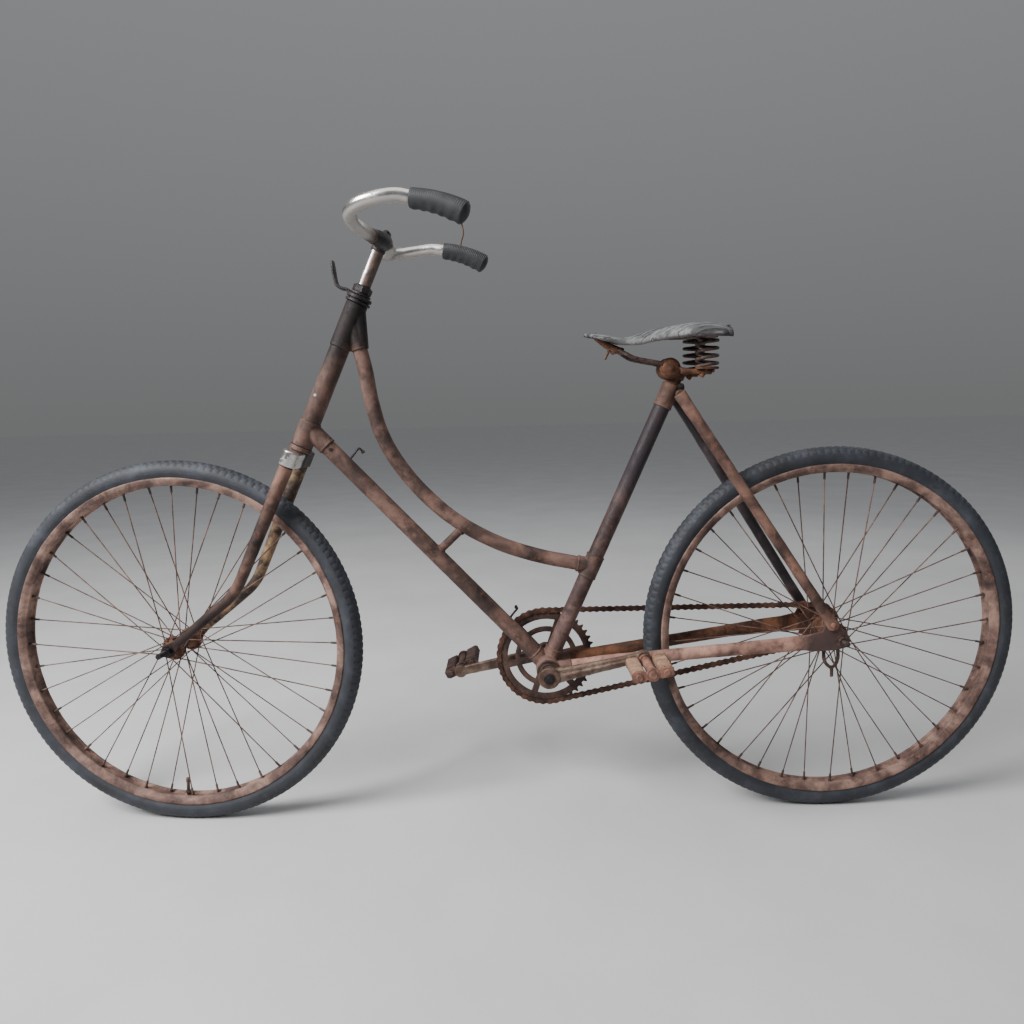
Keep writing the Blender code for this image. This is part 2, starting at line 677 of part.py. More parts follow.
def add_seat_tube(ground):
    """Seat tube in two lengths, the lug between them and the seat lug."""
    turn = along(SEAT_DIRECTION)
    pieces = (
        ("seat_tube_lower", SEAT_TUBE_R, SOCKET_BB + GAP, LOOP_END - MIDDLE_LUG_HALF - GAP),
        ("seat_tube_upper", SEAT_TUBE_R, LOOP_END + MIDDLE_LUG_HALF + GAP, SEAT_LUG_LOW - GAP),
    )
    for name, radius, low, high in pieces:
        place(turned_object(name, rod_profile(radius, low, high)), MATERIALS["frame"], ground,
              BB, turn)
    middle = place(turned_object("middle_lug", rod_profile(
        SEAT_TUBE_R + LUG_WALL, LOOP_END - MIDDLE_LUG_HALF, LOOP_END + MIDDLE_LUG_HALF)),
        MATERIALS["frame"], ground, BB, turn)
    meets = seat_tube(LOOP_END)
    boolean(middle, tool_rod("socket_middle", ground, meets,
                             meets + (loop_points()[-2] - meets).normalized() * SOCKET_MIDDLE,
                             LOOP_TUBE_R + LUG_WALL), "UNION")
    seat_lug = place(turned_object("seat_lug", rod_profile(
        SEAT_TUBE_R + LUG_WALL, SEAT_LUG_LOW, SEAT_TUBE_TOP)), MATERIALS["frame"], ground, BB, turn)
    ear = (SEATSTAY_TOP[0] + SEAT_BOLT_AT[0], SEATSTAY_TOP[1] - SEATSTAY_R,
           SEATSTAY_TOP[2] + SEAT_BOLT_AT[1])
    boolean(seat_lug, tool_rod("seat_lug_bolt", ground, mirrored(ear, -1), mirrored(ear, 1),
                               SEAT_BOLT_R), "UNION")


def add_bottom_bracket(ground):
    """The shell round the crank axle, with its five sockets."""
    shell = place(bpy.data.objects.new("bottom_bracket_shell", prism_mesh(
        "bottom_bracket_shell", BB_SHELL_R, 2 * BB_SHELL_HALF, 32)), MATERIALS["frame"], ground,
        BB, ACROSS)
    down = (head(DOWN_TUBE_MEETS) - BB).normalized()
    boolean(shell, tool_rod("socket_bb_down", ground, BB, BB + down * SOCKET_BB,
                            DOWN_TUBE_R + LUG_WALL), "UNION")
    boolean(shell, tool_rod("socket_bb_seat", ground, BB, seat_tube(SOCKET_BB),
                            SEAT_TUBE_R + LUG_WALL), "UNION")
    for side, word in ((1, "left"), (-1, "right")):
        start = mirrored(CHAINSTAY_START, side)
        bend = mirrored(CHAINSTAY_BEND, side)
        inward = (start - bend).normalized()
        boolean(shell, tool_rod(f"socket_bb_stay_{word}", ground, start + inward * SOCKET_BB,
                                start + inward * GAP, CHAINSTAY_R + LUG_WALL / 2), "UNION")
    through = Vector((0, 2 * BB_SHELL_HALF, 0))
    boolean(shell, tool_rod("shell_bore", ground, BB - through, BB + through,
                            SPINDLE_R + RUNNING_GAP, 24), "DIFFERENCE")


def mirrored(point, side):
    """A place on the left side, or its mirror on the right."""
    return Vector((point[0], side * point[1], point[2]))


def add_stays(ground):
    """Chain stays with their flattened ends, and seat stays bolted to them."""
    eye = Vector((EYE_BOLT[0], 0, EYE_BOLT[1]))
    end = Vector(CHAINSTAY_END)
    dropout_outline = [(end.x + DROPOUT_TAIL_L, end.z + edge) for edge in DROPOUT_TAIL]
    dropout_outline += [(x, WHEEL_R + z) for x, z in DROPOUT_UPPER]
    dropout_outline += circle(EYE_R, 7, 0, math.pi, (eye.x, eye.z), closed=False)
    dropout_outline += [(x, WHEEL_R + z) for x, z in DROPOUT_BACK]
    hole = circle(AXLE_R + GAP, 16, centre=(0, WHEEL_R))
    for side, word in ((1, "left"), (-1, "right")):
        path = [mirrored(p, side) for p in (CHAINSTAY_START, CHAINSTAY_BEND, CHAINSTAY_END)]
        path = rounded_path(path, (0.15,), math.radians(4))
        stay = place(bpy.data.objects.new(f"chainstay_{word}", tube_mesh(
            f"chainstay_{word}", path, CHAINSTAY_R)), MATERIALS["frame"], ground)
        blade = place(bpy.data.objects.new(f"dropout_{word}", plate_mesh(
            f"dropout_{word}", [dropout_outline, hole], TIP_T)), None, ground,
            (0, side * (REAR_TIP_Y + TIP_T / 2), 0), SIDE_ON)
        boolean(stay, blade, "UNION")
        ends = [mirrored(p, side) for p in (SEATSTAY_TOP, SEATSTAY_END)]
        seat_stay = place(bpy.data.objects.new(f"seatstay_{word}", tube_mesh(
            f"seatstay_{word}", ends, [SEATSTAY_R, SEATSTAY_TIP_R])), MATERIALS["frame"], ground)
        tab_y = side * (REAR_TIP_Y + TIP_T + GAP + TAB_T / 2)
        slope = (Vector((SEATSTAY_TOP[0], 0, SEATSTAY_TOP[2])) - eye).normalized()
        normal = Vector((-slope.z, 0, slope.x)) * EYE_R
        far = eye + slope * TAB_L
        tab_outline = [(far.x + normal.x * TAB_TAPER, far.z + normal.z * TAB_TAPER),
                       (eye.x + normal.x, eye.z + normal.z),
                       (eye.x - slope.x * EYE_R, eye.z - slope.z * EYE_R),
                       (eye.x - normal.x, eye.z - normal.z),
                       (far.x - normal.x * TAB_TAPER, far.z - normal.z * TAB_TAPER)]
        tab = place(bpy.data.objects.new(f"seatstay_tab_{word}", plate_mesh(
            f"seatstay_tab_{word}", [tab_outline], TAB_T)), None, ground, (0, tab_y, 0), SIDE_ON)
        boolean(seat_stay, tab, "UNION")


def add_fork(steering):
    """Crown, blades with their tips, and locknut, all turning about the steering axis."""
    turn = along(HEAD_DIRECTION)
    crown_outline = (circle(CROWN_R, 13, 0, math.pi, (0, CROWN_HALF_WIDTH - CROWN_R), False)
                     + circle(CROWN_R, 13, math.pi, math.pi, (0, CROWN_R - CROWN_HALF_WIDTH), False))
    place(bpy.data.objects.new("fork_crown", plate_mesh(
        "fork_crown", [crown_outline], CROWN_TOP - CROWN_LOW)), MATERIALS["chrome"], steering,
        HEAD_DIRECTION * (CROWN_TOP + CROWN_LOW) / 2, turn)
    low = UPPER_LUG_TOP + GAP + UPPER_CUP_T + RUNNING_GAP
    place(turned_object("headset_locknut", rod_profile(LOCKNUT_R, low, low + LOCKNUT_T), 8),
          MATERIALS["dark_steel"], steering, (0, 0, 0), turn)
    axle = FRONT_AXLE - head(0)
    corner = HEAD_DIRECTION * FORK_BEND_S
    tip_direction = (axle - corner).normalized()
    for side, word in ((1, "left"), (-1, "right")):
        top = HEAD_DIRECTION * (CROWN_LOW - GAP)
        tip_y = FRONT_TIP_Y + TIP_T / 2
        share = (CROWN_LOW - FORK_BEND_S) / (CROWN_LOW - FORK_BEND_S + (axle - corner).length)
        bend_y = BLADE_TOP_Y + (tip_y - BLADE_TOP_Y) * share
        end = axle - tip_direction * BLADE_SHORT
        neck = HEAD_DIRECTION * (CROWN_LOW - BLADE_NECK)
        points = [(neck.x, side * BLADE_TOP_Y, neck.z), (corner.x, side * bend_y, corner.z),
                  (end.x, side * tip_y, end.z)]
        path = rounded_path(points, (FORK_BEND_R,), math.radians(5))
        path.insert(0, Vector((top.x, side * BLADE_TOP_Y, top.z)))
        radii = [BLADE_TOP_R + (BLADE_TIP_R - BLADE_TOP_R) * i / (len(path) - 1)
                 for i in range(len(path))]
        blade = place(bpy.data.objects.new(f"fork_blade_{word}", tube_mesh(
            f"fork_blade_{word}", path, radii)), MATERIALS["frame"], steering)
        back = Vector((-tip_direction.x, -tip_direction.z)) * FORK_TIP_L
        normal = Vector((-back.y, back.x)).normalized() * FORK_TIP_NECK
        centre = Vector((axle.x, axle.z))
        outline = [centre + back + normal, centre + back - normal]
        start = math.atan2(-normal.y, -normal.x)
        outline += [Vector(p) for p in circle(FORK_TIP_R, 9, start, -math.pi, centre, False)]
        hole = circle(AXLE_R + GAP, 16, centre=centre)
        tip = place(bpy.data.objects.new(f"fork_tip_{word}", plate_mesh(
            f"fork_tip_{word}", [outline, hole], TIP_T)), None, steering,
            (0, side * tip_y, 0), SIDE_ON)
        boolean(blade, tip, "UNION")


def add_lamp_bracket(steering):
    """The bent strip under the locknut that once held a lamp."""
    base = UPPER_LUG_TOP + GAP + UPPER_CUP_T + RUNNING_GAP + LOCKNUT_T / 2
    root = HEAD_DIRECTION * base
    left = []
    right = []
    for i, point in enumerate(LAMP_STRIP):
        before = Vector(LAMP_STRIP[max(i - 1, 0)])
        after = Vector(LAMP_STRIP[min(i + 1, len(LAMP_STRIP) - 1)])
        normal = (after - before).normalized()
        normal = Vector((-normal.y, normal.x)) * LAMP_STRIP_T / 2
        left.append(Vector(point) + normal)
        right.append(Vector(point) - normal)
    bracket = place(bpy.data.objects.new("lamp_bracket", plate_mesh(
        "lamp_bracket", [left + right[::-1]], LAMP_STRIP_W)), MATERIALS["dark_steel"], steering,
        root, SIDE_ON)
    through = HEAD_DIRECTION * 2 * LAMP_STRIP_W
    boolean(bracket, tool_rod("lamp_bracket_cut", steering, root - through, root + through,
                              LOCKNUT_R + GAP, 48), "DIFFERENCE")


def add_handlebar(steering):
    """Stem with its clamp, swept bar and two grips."""
    turn = along(HEAD_DIRECTION)
    low = UPPER_LUG_TOP + GAP + UPPER_CUP_T + RUNNING_GAP + LOCKNUT_T + GAP
    clamp = Vector(BAR_POINTS[0]) - head(0)
    reach = clamp.dot(HEAD_DIRECTION)
    stem = place(turned_object("stem", rod_profile(STEM_R, low, reach), 20), MATERIALS["chrome"],
                 steering, (0, 0, 0), turn)
    boolean(stem, tool_rod("stem_clamp", steering, clamp - Vector((0, CLAMP_HALF, 0)),
                           clamp + Vector((0, CLAMP_HALF, 0)), CLAMP_R, 24), "UNION")
    grip_direction = (Vector(GRIP_END) - Vector(BAR_POINTS[-1])).normalized()
    half = smooth_path(BAR_POINTS, 3)
    half.append(half[-1] + grip_direction * BAR_END)
    path = [p - head(0) for p in [mirrored(p, -1) for p in half[:0:-1]] + half]
    place(bpy.data.objects.new("handlebar", tube_mesh("handlebar", path, BAR_R, 3)),
          MATERIALS["chrome"], steering)
    guide = place(bpy.data.objects.new("bar_cut", tube_mesh("bar_cut", path, BAR_R + GAP, 3)),
                  None, steering)
    boolean(stem, guide, "DIFFERENCE")
    start = half[-1] + grip_direction * GAP
    run = Vector(GRIP_END) - start
    for side, word in ((1, "left"), (-1, "right")):
        points = [mirrored(start + run * share, side) - head(0) for share, _ in GRIP_STATIONS]
        radii = [radius for _, radius in GRIP_STATIONS]
        place(bpy.data.objects.new(f"grip_{word}", tube_mesh(f"grip_{word}", points, radii)),
              MATERIALS["rubber"], steering)


def add_saddle(ground):
    """Leather top, plate, springs, rails, nose bracket, clamp and post."""
    leather_rows = [saddle_row(x, 1.0, 0.0) for x, *_ in SADDLE_STATIONS]
    plate_rows = [saddle_row(x, SADDLE_PLATE_SHARE, SADDLE_PLATE_DROP) for x in SADDLE_PLATE_X]
    for name, rows, thickness, material in (
            ("saddle_leather", leather_rows, SADDLE_T, "leather"),
            ("saddle_plate", plate_rows, SADDLE_PLATE_T, "dark_steel")):
        mesh = bpy.data.meshes.new(name)
        across = SADDLE_ACROSS + 1
        faces = [(r * across + c, (r + 1) * across + c, (r + 1) * across + c + 1, r * across + c + 1)
                 for r in range(len(rows) - 1) for c in range(across - 1)]
        mesh.from_pydata([p for row in rows for p in row], [], faces)
        smooth(mesh, 60)
        shell = place(bpy.data.objects.new(name, mesh), MATERIALS[material], ground)
        solid = shell.modifiers.new("thickness", "SOLIDIFY")
        solid.thickness = thickness
        solid.offset = -1


def saddle_section(x):
    """Half width, height and edge drop of the leather at x, between its stations."""
    for front, back in zip(SADDLE_STATIONS, SADDLE_STATIONS[1:]):
        if back[0] <= x <= front[0]:
            t = (front[0] - x) / (front[0] - back[0])
            return [a + (b - a) * t for a, b in zip(front[1:], back[1:])]
    return list(SADDLE_STATIONS[-1][1:])


def saddle_row(x, share, lower):
    """One row of places across the saddle, from its left edge to its right."""
    half, height, drop = saddle_section(x)
    row = []
    for i in range(SADDLE_ACROSS + 1):
        u = (1 - 2 * i / SADDLE_ACROSS) * share
        row.append((x, half * math.sin(u * math.pi / 2), height - lower - drop * abs(u) ** 2.6))
    return row


def saddle_height(x, y):
    """The height of the leather's upper side."""
    half, height, drop = saddle_section(x)
    u = math.asin(y / half) / (math.pi / 2)
    return height - drop * abs(u) ** 2.6


def add_saddle_frame(ground):
    """Coil springs, the bent rail under them and the nose bracket."""
    top = saddle_height(SPRING_X + SPRING_R, SPRING_Y) - SADDLE_SPRING_DROP
    for side, word in ((1, "left"), (-1, "right")):
        path = []
        steps = SPRING_STEPS * SPRING_TURNS
        rise = top - SPRING_LOW - 2 * SPRING_WIRE_R - 3 * GAP
        for i in range(steps + 1):
            angle = side * 2 * math.pi * i * SPRING_TURNS / steps
            path.append((SPRING_X + SPRING_R * math.cos(angle),
                         side * SPRING_Y + SPRING_R * math.sin(angle),
                         SPRING_LOW + GAP + SPRING_WIRE_R + rise * i / steps))
        place(bpy.data.objects.new(f"saddle_spring_{word}", tube_mesh(
            f"saddle_spring_{word}", path, SPRING_WIRE_R, 2)), MATERIALS["dark_steel"], ground)
    beside_clamp = SADDLE_CLAMP_HALF + RAIL_R + 2 * GAP
    rail = [(SPRING_X - RAIL_END, SPRING_Y, SPRING_LOW - RAIL_R),
            (SPRING_X + RAIL_AHEAD, SPRING_Y, SPRING_LOW - RAIL_R), RAIL_BEND,
            *[(x, beside_clamp, z) for x, z in RAIL_CLAMP], *RAIL_NOSE]
    path = smooth_path(rail + [mirrored(p, -1) for p in rail[::-1]], 2)
    place(bpy.data.objects.new("saddle_rail", tube_mesh("saddle_rail", path, RAIL_R, 2)),
          MATERIALS["dark_steel"], ground)
    place(bpy.data.objects.new("saddle_nose", plate_mesh(
        "saddle_nose", [SADDLE_NOSE], SADDLE_NOSE_W)), MATERIALS["dark_steel"], ground,
        (0, 0, 0), SIDE_ON)


def add_saddle_clamp(ground):
    """The round clamp on its bolt and the post below it."""
    turn = along(SEAT_DIRECTION)
    x, z = SADDLE_CLAMP
    centre = Vector((x, 0, z))
    foot = (centre - BB).dot(SEAT_DIRECTION)
    post_top = foot - COLLAR_T / 2
    place(turned_object("seat_post", rod_profile(SEAT_POST_R, SEAT_TUBE_TOP + GAP, post_top)),
          MATERIALS["dark_steel"], ground, BB, turn)
    clamp = tool_rod("saddle_clamp", ground, (x, -SADDLE_CLAMP_HALF, z),
                     (x, SADDLE_CLAMP_HALF, z), SADDLE_CLAMP_R, 24)
    clamp.data.materials.append(MATERIALS["rust"])
    smooth(clamp.data)
    boolean(clamp, tool_rod("clamp_collar", ground, seat_tube(post_top + GAP),
                            seat_tube(foot + COLLAR_T / 2), SEAT_POST_R + COLLAR_WALL), "UNION")
    boolean(clamp, tool_rod("clamp_post_cut", ground, seat_tube(SEAT_TUBE_TOP - COLLAR_T),
                            seat_tube(post_top + GAP), SEAT_POST_R + GAP), "DIFFERENCE")


def chain_pins():
    """The chain's pins in order, x and z, on the rings and evenly along both runs."""
    ring_r = pitch_radius(CHAINRING_TEETH)
    sprocket_r = pitch_radius(SPROCKET_TEETH)
    ring = Vector((BB_X, BB_Z))
    sprocket = Vector((0, WHEEL_R))
    line = sprocket - ring
    tilt = math.atan2(line.y, line.x)
    lean = math.acos((ring_r - sprocket_r) / line.length)

    def on_wheel(centre, radius, teeth, first, last, phase):
        step = 2 * math.pi / teeth
        low = math.ceil((first - phase) / step - 1e-6)
        high = math.floor((last - phase) / step + 1e-6)
        return [centre + Vector((math.cos(phase + step * k), math.sin(phase + step * k))) * radius
                for k in range(low, high + 1)]

    ring_pins = on_wheel(ring, ring_r, CHAINRING_TEETH, tilt + lean - 2 * math.pi, tilt - lean,
                         CRANK_REST)
    sprocket_pins = on_wheel(sprocket, sprocket_r, SPROCKET_TEETH, tilt - lean, tilt + lean, 0.0)
    # The ring's pins run from its lower run round the front to its upper one
    pins = ring_pins[::-1]
    runs = [(ring_pins[0], sprocket_pins[-1]), (sprocket_pins[0], ring_pins[-1])]
    counts = [round((b - a).length / CHAIN_PITCH) for a, b in runs]
    if (len(ring_pins) + len(sprocket_pins) + sum(counts)) % 2:
        counts[1] += 1
    for (a, b), count, tail in zip(runs, counts, (sprocket_pins[::-1], [])):
        pins += [a.lerp(b, i / count) for i in range(1, count)]
        pins += tail
    return pins


def offset_loop(pins, pin_reach, waist_reach=None):
    """The chain's loop moved outwards at its pins, and at the waists between them."""
    count = len(pins)
    area = sum(a.x * b.y - b.x * a.y for a, b in zip(pins, pins[1:] + pins[:1]))
    outward = -1 if area > 0 else 1
    loop = []
    for i, pin in enumerate(pins):
        after = pins[(i + 1) % count]
        tangent = (after - pins[i - 1]).normalized()
        loop.append(pin + Vector((-tangent.y, tangent.x)) * outward * pin_reach)
        if waist_reach is not None:
            run = (after - pin).normalized()
            loop.append((pin + after) / 2 + Vector((-run.y, run.x)) * outward * waist_reach)
    return loop


def toothed_outline(teeth, over):
    """A toothed ring's outline whose gaps lie at the chain's pins."""
    radius = pitch_radius(teeth)
    step = 2 * math.pi / teeth
    outline = []
    for i in range(teeth):
        for reach, share in ((-TOOTH_UNDER, 0.16), (over, 0.40), (over, 0.60), (-TOOTH_UNDER, 0.84)):
            angle = step * (i + share)
            outline.append(((radius + reach) * math.cos(angle), (radius + reach) * math.sin(angle)))
    return outline


def window_outline(inner, outer, start, end, count=6):
    """A window between two arms: two arcs whose ends keep the arms' sides straight."""
    half = CHAINRING_ARM_W / 2
    a = math.asin(half / outer)
    b = math.asin(half / inner)
    return (circle(outer, count, start + a, end - start - 2 * a, closed=False)
            + circle(inner, count, end - b, start - end + 2 * b, closed=False))


def add_chain(ground):
    """The chain: one fixed loop, slotted inside for the teeth, with its links in its outline."""
    pins = chain_pins()
    chain = place(bpy.data.objects.new("chain", plate_mesh(
        "chain", [offset_loop(pins, CHAIN_PLATE_H, CHAIN_WAIST_H),
                  offset_loop(pins, -CHAIN_PLATE_H)], 2 * CHAIN_HALF_W)),
        MATERIALS["chain"], ground, (0, CHAINLINE_Y, 0), SIDE_ON)
    slot = place(bpy.data.objects.new("chain_slot", plate_mesh(
        "chain_slot", [offset_loop(pins, CHAIN_SLOT_TOP), offset_loop(pins, -2 * CHAIN_PLATE_H)],
        2 * CHAIN_SLOT_HALF)), None, ground, (0, CHAINLINE_Y, 0), SIDE_ON)
    boolean(chain, slot, "DIFFERENCE")
    place(bpy.data.objects.new("rear_sprocket", plate_mesh(
        "rear_sprocket", [toothed_outline(SPROCKET_TEETH, SPROCKET_TOOTH_OVER),
                          circle(AXLE_R + GAP, 16)],
        CHAINRING_T)), MATERIALS["chain"], ground, (0, CHAINLINE_Y, WHEEL_R), SIDE_ON)


def add_cranks(crank):
    """Crank axle, chainring and both arms, on the crank's empty whose X runs to the left pedal."""
    inner = abs(CHAINLINE_Y) - CHAINRING_T / 2
    place(turned_object("crank_spindle", rod_profile(
        SPINDLE_R, -inner + GAP, CRANK_INNER_Y - GAP), 20), MATERIALS["axle"], crank,
        rotation=ACROSS)
    step = 2 * math.pi / CHAINRING_ARMS
    first = CHAINRING_ARM_AT - CRANK_REST
    outlines = [toothed_outline(CHAINRING_TEETH, TOOTH_OVER)]
    for low, high in (CHAINRING_WINDOW_R[:2], CHAINRING_WINDOW_R[2:]):
        outlines += [window_outline(low, high, first + step * i, first + step * (i + 1))
                     for i in range(CHAINRING_ARMS)]
    place(bpy.data.objects.new("chainring", plate_mesh("chainring", outlines, CHAINRING_T)),
          MATERIALS["chain"], crank, (0, CHAINLINE_Y, 0), SIDE_ON)
    outline = (circle(CRANK_BOSS_R, 17, math.radians(50), math.radians(260), closed=False)
               + [(CRANK_NECK_AT, -CRANK_WAIST - CRANK_NECK_OVER)]
               + circle(CRANK_EYE_R, 11, math.radians(-120), math.radians(240),
                        (CRANK_LENGTH, 0), False)
               + [(CRANK_NECK_AT, CRANK_WAIST + CRANK_NECK_OVER)])
    for side, word in ((1, "left"), (-1, "right")):
        points = [(side * x, y) for x, y in outline]
        arm = place(bpy.data.objects.new(f"crank_{word}", plate_mesh(
            f"crank_{word}", [points], CRANK_T)), MATERIALS["crank"], crank,
            (0, side * (CRANK_INNER_Y + CRANK_T / 2), 0), SIDE_ON)
        if side < 0:
            boolean(arm, tool_rod("chainring_boss", crank,
                                  (0, CHAINLINE_Y - CHAINRING_T / 2 - GAP, 0),
                                  (0, -CRANK_INNER_Y - CRANK_T / 2, 0), RING_BOSS_R, 24), "UNION")


def add_pedal(word, side, parent):
    """A pedal: centre tube with two plates, and a rubber block each side of it."""
    tube = place(turned_object(f"pedal_{word}", rod_profile(
        PEDAL_TUBE_R, side * PEDAL_START_Y if side > 0 else -PEDAL_END_Y,
        PEDAL_END_Y if side > 0 else -PEDAL_START_Y), 16), MATERIALS["rust"], parent,
        rotation=ACROSS)
    reach = PEDAL_BLOCK_AT + PEDAL_BLOCK_W / 2
    for i, plate_y in enumerate(PEDAL_PLATE_Y):
        mesh = box_mesh("pedal_plate", (2 * reach, PEDAL_PLATE_T, PEDAL_PLATE_H))
        plate = place(bpy.data.objects.new(f"pedal_plate_{word}_{i}", mesh), None, parent,
                      (0, side * plate_y, 0))
        boolean(tube, plate, "UNION")
    low = PEDAL_PLATE_Y[0] + PEDAL_PLATE_T / 2 + GAP
    high = PEDAL_PLATE_Y[1] - PEDAL_PLATE_T / 2 - GAP
    for end, place_word in ((1, "front"), (-1, "rear")):
        mesh = box_mesh("pedal_block", (PEDAL_BLOCK_W, high - low, PEDAL_BLOCK_H))
        place(bpy.data.objects.new(f"pedal_block_{word}_{place_word}", mesh), MATERIALS["block"],
              parent, (end * PEDAL_BLOCK_AT, side * (low + high) / 2, 0))


# The scene
for old in list(bpy.data.objects):
    bpy.data.objects.remove(old)
PARTS = new_collection("rusty_bicycle")
CUTTERS = new_collection("cutters")

MATERIALS = {
    "frame": new_material("frame_rust", (0.16, 0.09, 0.075), 0.75, 0.2),
    "rust": new_material("orange_rust", (0.24, 0.10, 0.05), 0.85, 0.1),
    "dark_steel": new_material("dark_steel", (0.05, 0.045, 0.045), 0.6, 0.4),
    "chrome": new_material("worn_chrome", (0.6, 0.58, 0.55), 0.3, 1.0),
    "axle": new_material("axle_steel", (0.07, 0.05, 0.04), 0.6, 0.7),
    "chain": new_material("rusty_chain", (0.10, 0.05, 0.035), 0.8, 0.3),
    "crank": new_material("crank_steel", (0.28, 0.22, 0.18), 0.6, 0.6),
    "rim": new_material("rusty_rim", (0.25, 0.14, 0.09), 0.8, 0.2),
    "spokes": new_material("rusty_spokes", (0.20, 0.12, 0.08), 0.8, 0.3),
    "tyre": new_material("old_tyre", (0.045, 0.05, 0.055), 0.85, 0.0),
    "rubber": new_material("grip_rubber", (0.02, 0.02, 0.022), 0.7, 0.0),
    "block": new_material("pedal_rubber", (0.40, 0.31, 0.24), 0.9, 0.0),
    "leather": new_material("old_leather", (0.10, 0.095, 0.09), 0.7, 0.0),
}

saddle_top = next(row[2] for row in SADDLE_STATIONS if row[0] == SADDLE_X)
GROUND = new_empty("ground_datum", None, (-SADDLE_X, 0, -saddle_top))
STEERING = new_empty("steering_axis", GROUND, head(0), Quaternion(HEAD_DIRECTION, STEER_REST))
FRONT_PLACE = new_empty("front_axle_place", STEERING, FRONT_AXLE - head(0))
FRONT_WHEEL = new_empty("front_wheel_axis", STEERING, FRONT_AXLE - head(0))
REAR_WHEEL = new_empty("rear_wheel_axis", GROUND, REAR_AXLE)
CRANK = new_empty("crank_axis", GROUND, BB, Quaternion((0, -1, 0), CRANK_REST))

add_wheels(REAR_WHEEL, FRONT_WHEEL, GROUND, FRONT_PLACE)
add_head(GROUND)
add_main_tubes(GROUND)
add_seat_tube(GROUND)
add_bottom_bracket(GROUND)
add_stays(GROUND)
add_fork(STEERING)
add_lamp_bracket(STEERING)
add_handlebar(STEERING)
add_saddle(GROUND)
add_saddle_frame(GROUND)
add_saddle_clamp(GROUND)
add_chain(GROUND)
add_cranks(CRANK)
for pedal_side, pedal_word in ((1, "left"), (-1, "right")):
    level = Quaternion((0, -1, 0), -CRANK_REST - PEDAL_TILT[pedal_word])
    pedal_axis = new_empty(f"pedal_axis_{pedal_word}", CRANK,
                           (pedal_side * CRANK_LENGTH, 0, 0), level)
    add_pedal(pedal_word, pedal_side, pedal_axis)
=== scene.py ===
# Looks of an old step-through bicycle, rusted all over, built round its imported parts.
# Metres, in the parts' own frame: +X forward, +Y to the bicycle's left, +Z up.
# Places are written from the floor under the rear axle, as spot(x, y, z).
import json
import math

import bmesh
import bpy
from mathutils import Matrix, Quaternion, Vector, noise


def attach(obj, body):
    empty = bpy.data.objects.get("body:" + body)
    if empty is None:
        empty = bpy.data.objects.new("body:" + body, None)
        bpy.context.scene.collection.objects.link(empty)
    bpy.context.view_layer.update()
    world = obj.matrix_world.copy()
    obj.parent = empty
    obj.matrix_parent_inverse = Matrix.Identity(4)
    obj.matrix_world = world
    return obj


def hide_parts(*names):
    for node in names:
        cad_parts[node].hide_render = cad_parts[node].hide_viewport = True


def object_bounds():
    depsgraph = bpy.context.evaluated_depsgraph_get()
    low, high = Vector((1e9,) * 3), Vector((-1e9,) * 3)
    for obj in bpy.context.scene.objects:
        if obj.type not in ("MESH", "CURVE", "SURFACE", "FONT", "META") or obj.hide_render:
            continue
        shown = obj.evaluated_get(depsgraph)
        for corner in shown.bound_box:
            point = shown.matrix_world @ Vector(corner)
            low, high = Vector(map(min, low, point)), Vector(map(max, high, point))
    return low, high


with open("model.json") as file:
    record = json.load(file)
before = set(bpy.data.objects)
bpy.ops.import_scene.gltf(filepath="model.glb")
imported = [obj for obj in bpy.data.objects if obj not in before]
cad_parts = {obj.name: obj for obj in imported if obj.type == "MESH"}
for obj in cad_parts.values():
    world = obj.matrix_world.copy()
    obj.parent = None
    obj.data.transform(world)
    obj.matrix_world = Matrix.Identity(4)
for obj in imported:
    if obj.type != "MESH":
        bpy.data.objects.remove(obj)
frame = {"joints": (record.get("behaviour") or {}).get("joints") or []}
cad_low, cad_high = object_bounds()
JOINTS = {joint["name"]: joint for joint in frame["joints"]}

UP = Vector((0, 0, 1))
LEFT = Vector((0, 1, 0))

# Wheels
WHEEL_R = 0.332
TYRE_R = 0.0185                 # of the tyre's round section
RIM_FLANGE_R = 0.3025
RIM_HALF = 0.0170
RIM_INNER_R = 0.2885
TREAD_BLOCKS = 156
TREAD_H = 0.0014
SPOKES = 40
SPOKE_R = 0.00105
NIPPLE_R = 0.0021
NIPPLE_L = 0.014
AXLE_R = 0.0048
AXLE_HALF = 0.085

# Steering head: places along the steering axis, from the height of the front axle
CROWN_LOW = 0.345
CROWN_TOP = 0.3785
LOWER_LUG_TOP = 0.4335
UPPER_LUG_LOW = 0.570
UPPER_LUG_TOP = 0.650
LOCKNUT_LOW = 0.6638
LOCKNUT_T = 0.022
HEAD_TUBE_R = 0.0168
HEAD_LUG_R = 0.0185
CUP_R = 0.0205
LOCKNUT_R = 0.0165
STEM_R = 0.0111
DOWN_TUBE_MEETS = 0.4212
LOOP_MEETS = 0.6251

# Frame tubes
DOWN_TUBE_R = 0.0143
SEAT_TUBE_R = 0.0143
LOOP_TUBE_R = 0.0127
LUG_WALL = 0.0018
SEAT_ANGLE = math.radians(65.9)
SEAT_TUBE_TOP = 0.545
SEAT_LUG_LOW = 0.503
LOOP_END = 0.1985
MIDDLE_LUG_HALF = 0.021
LOOP_POINTS = (
    (0.8110, 0.8090), (0.8035, 0.7590), (0.7880, 0.7010), (0.7590, 0.6465), (0.7140, 0.5915),
    (0.6570, 0.5425), (0.5870, 0.5040), (0.5160, 0.4800),
)
CHAINSTAY = ((0.465, 0.0235, 0.2840), (0.400, 0.0265, 0.2925), (0.110, 0.0575, 0.3245))
CHAINSTAY_R = 0.0105
SEATSTAY = ((0.2660, 0.0255, 0.7460), (0.0360, 0.0630, 0.3890))
SEATSTAY_CAP = (0.2752, 0.0240, 0.7602)
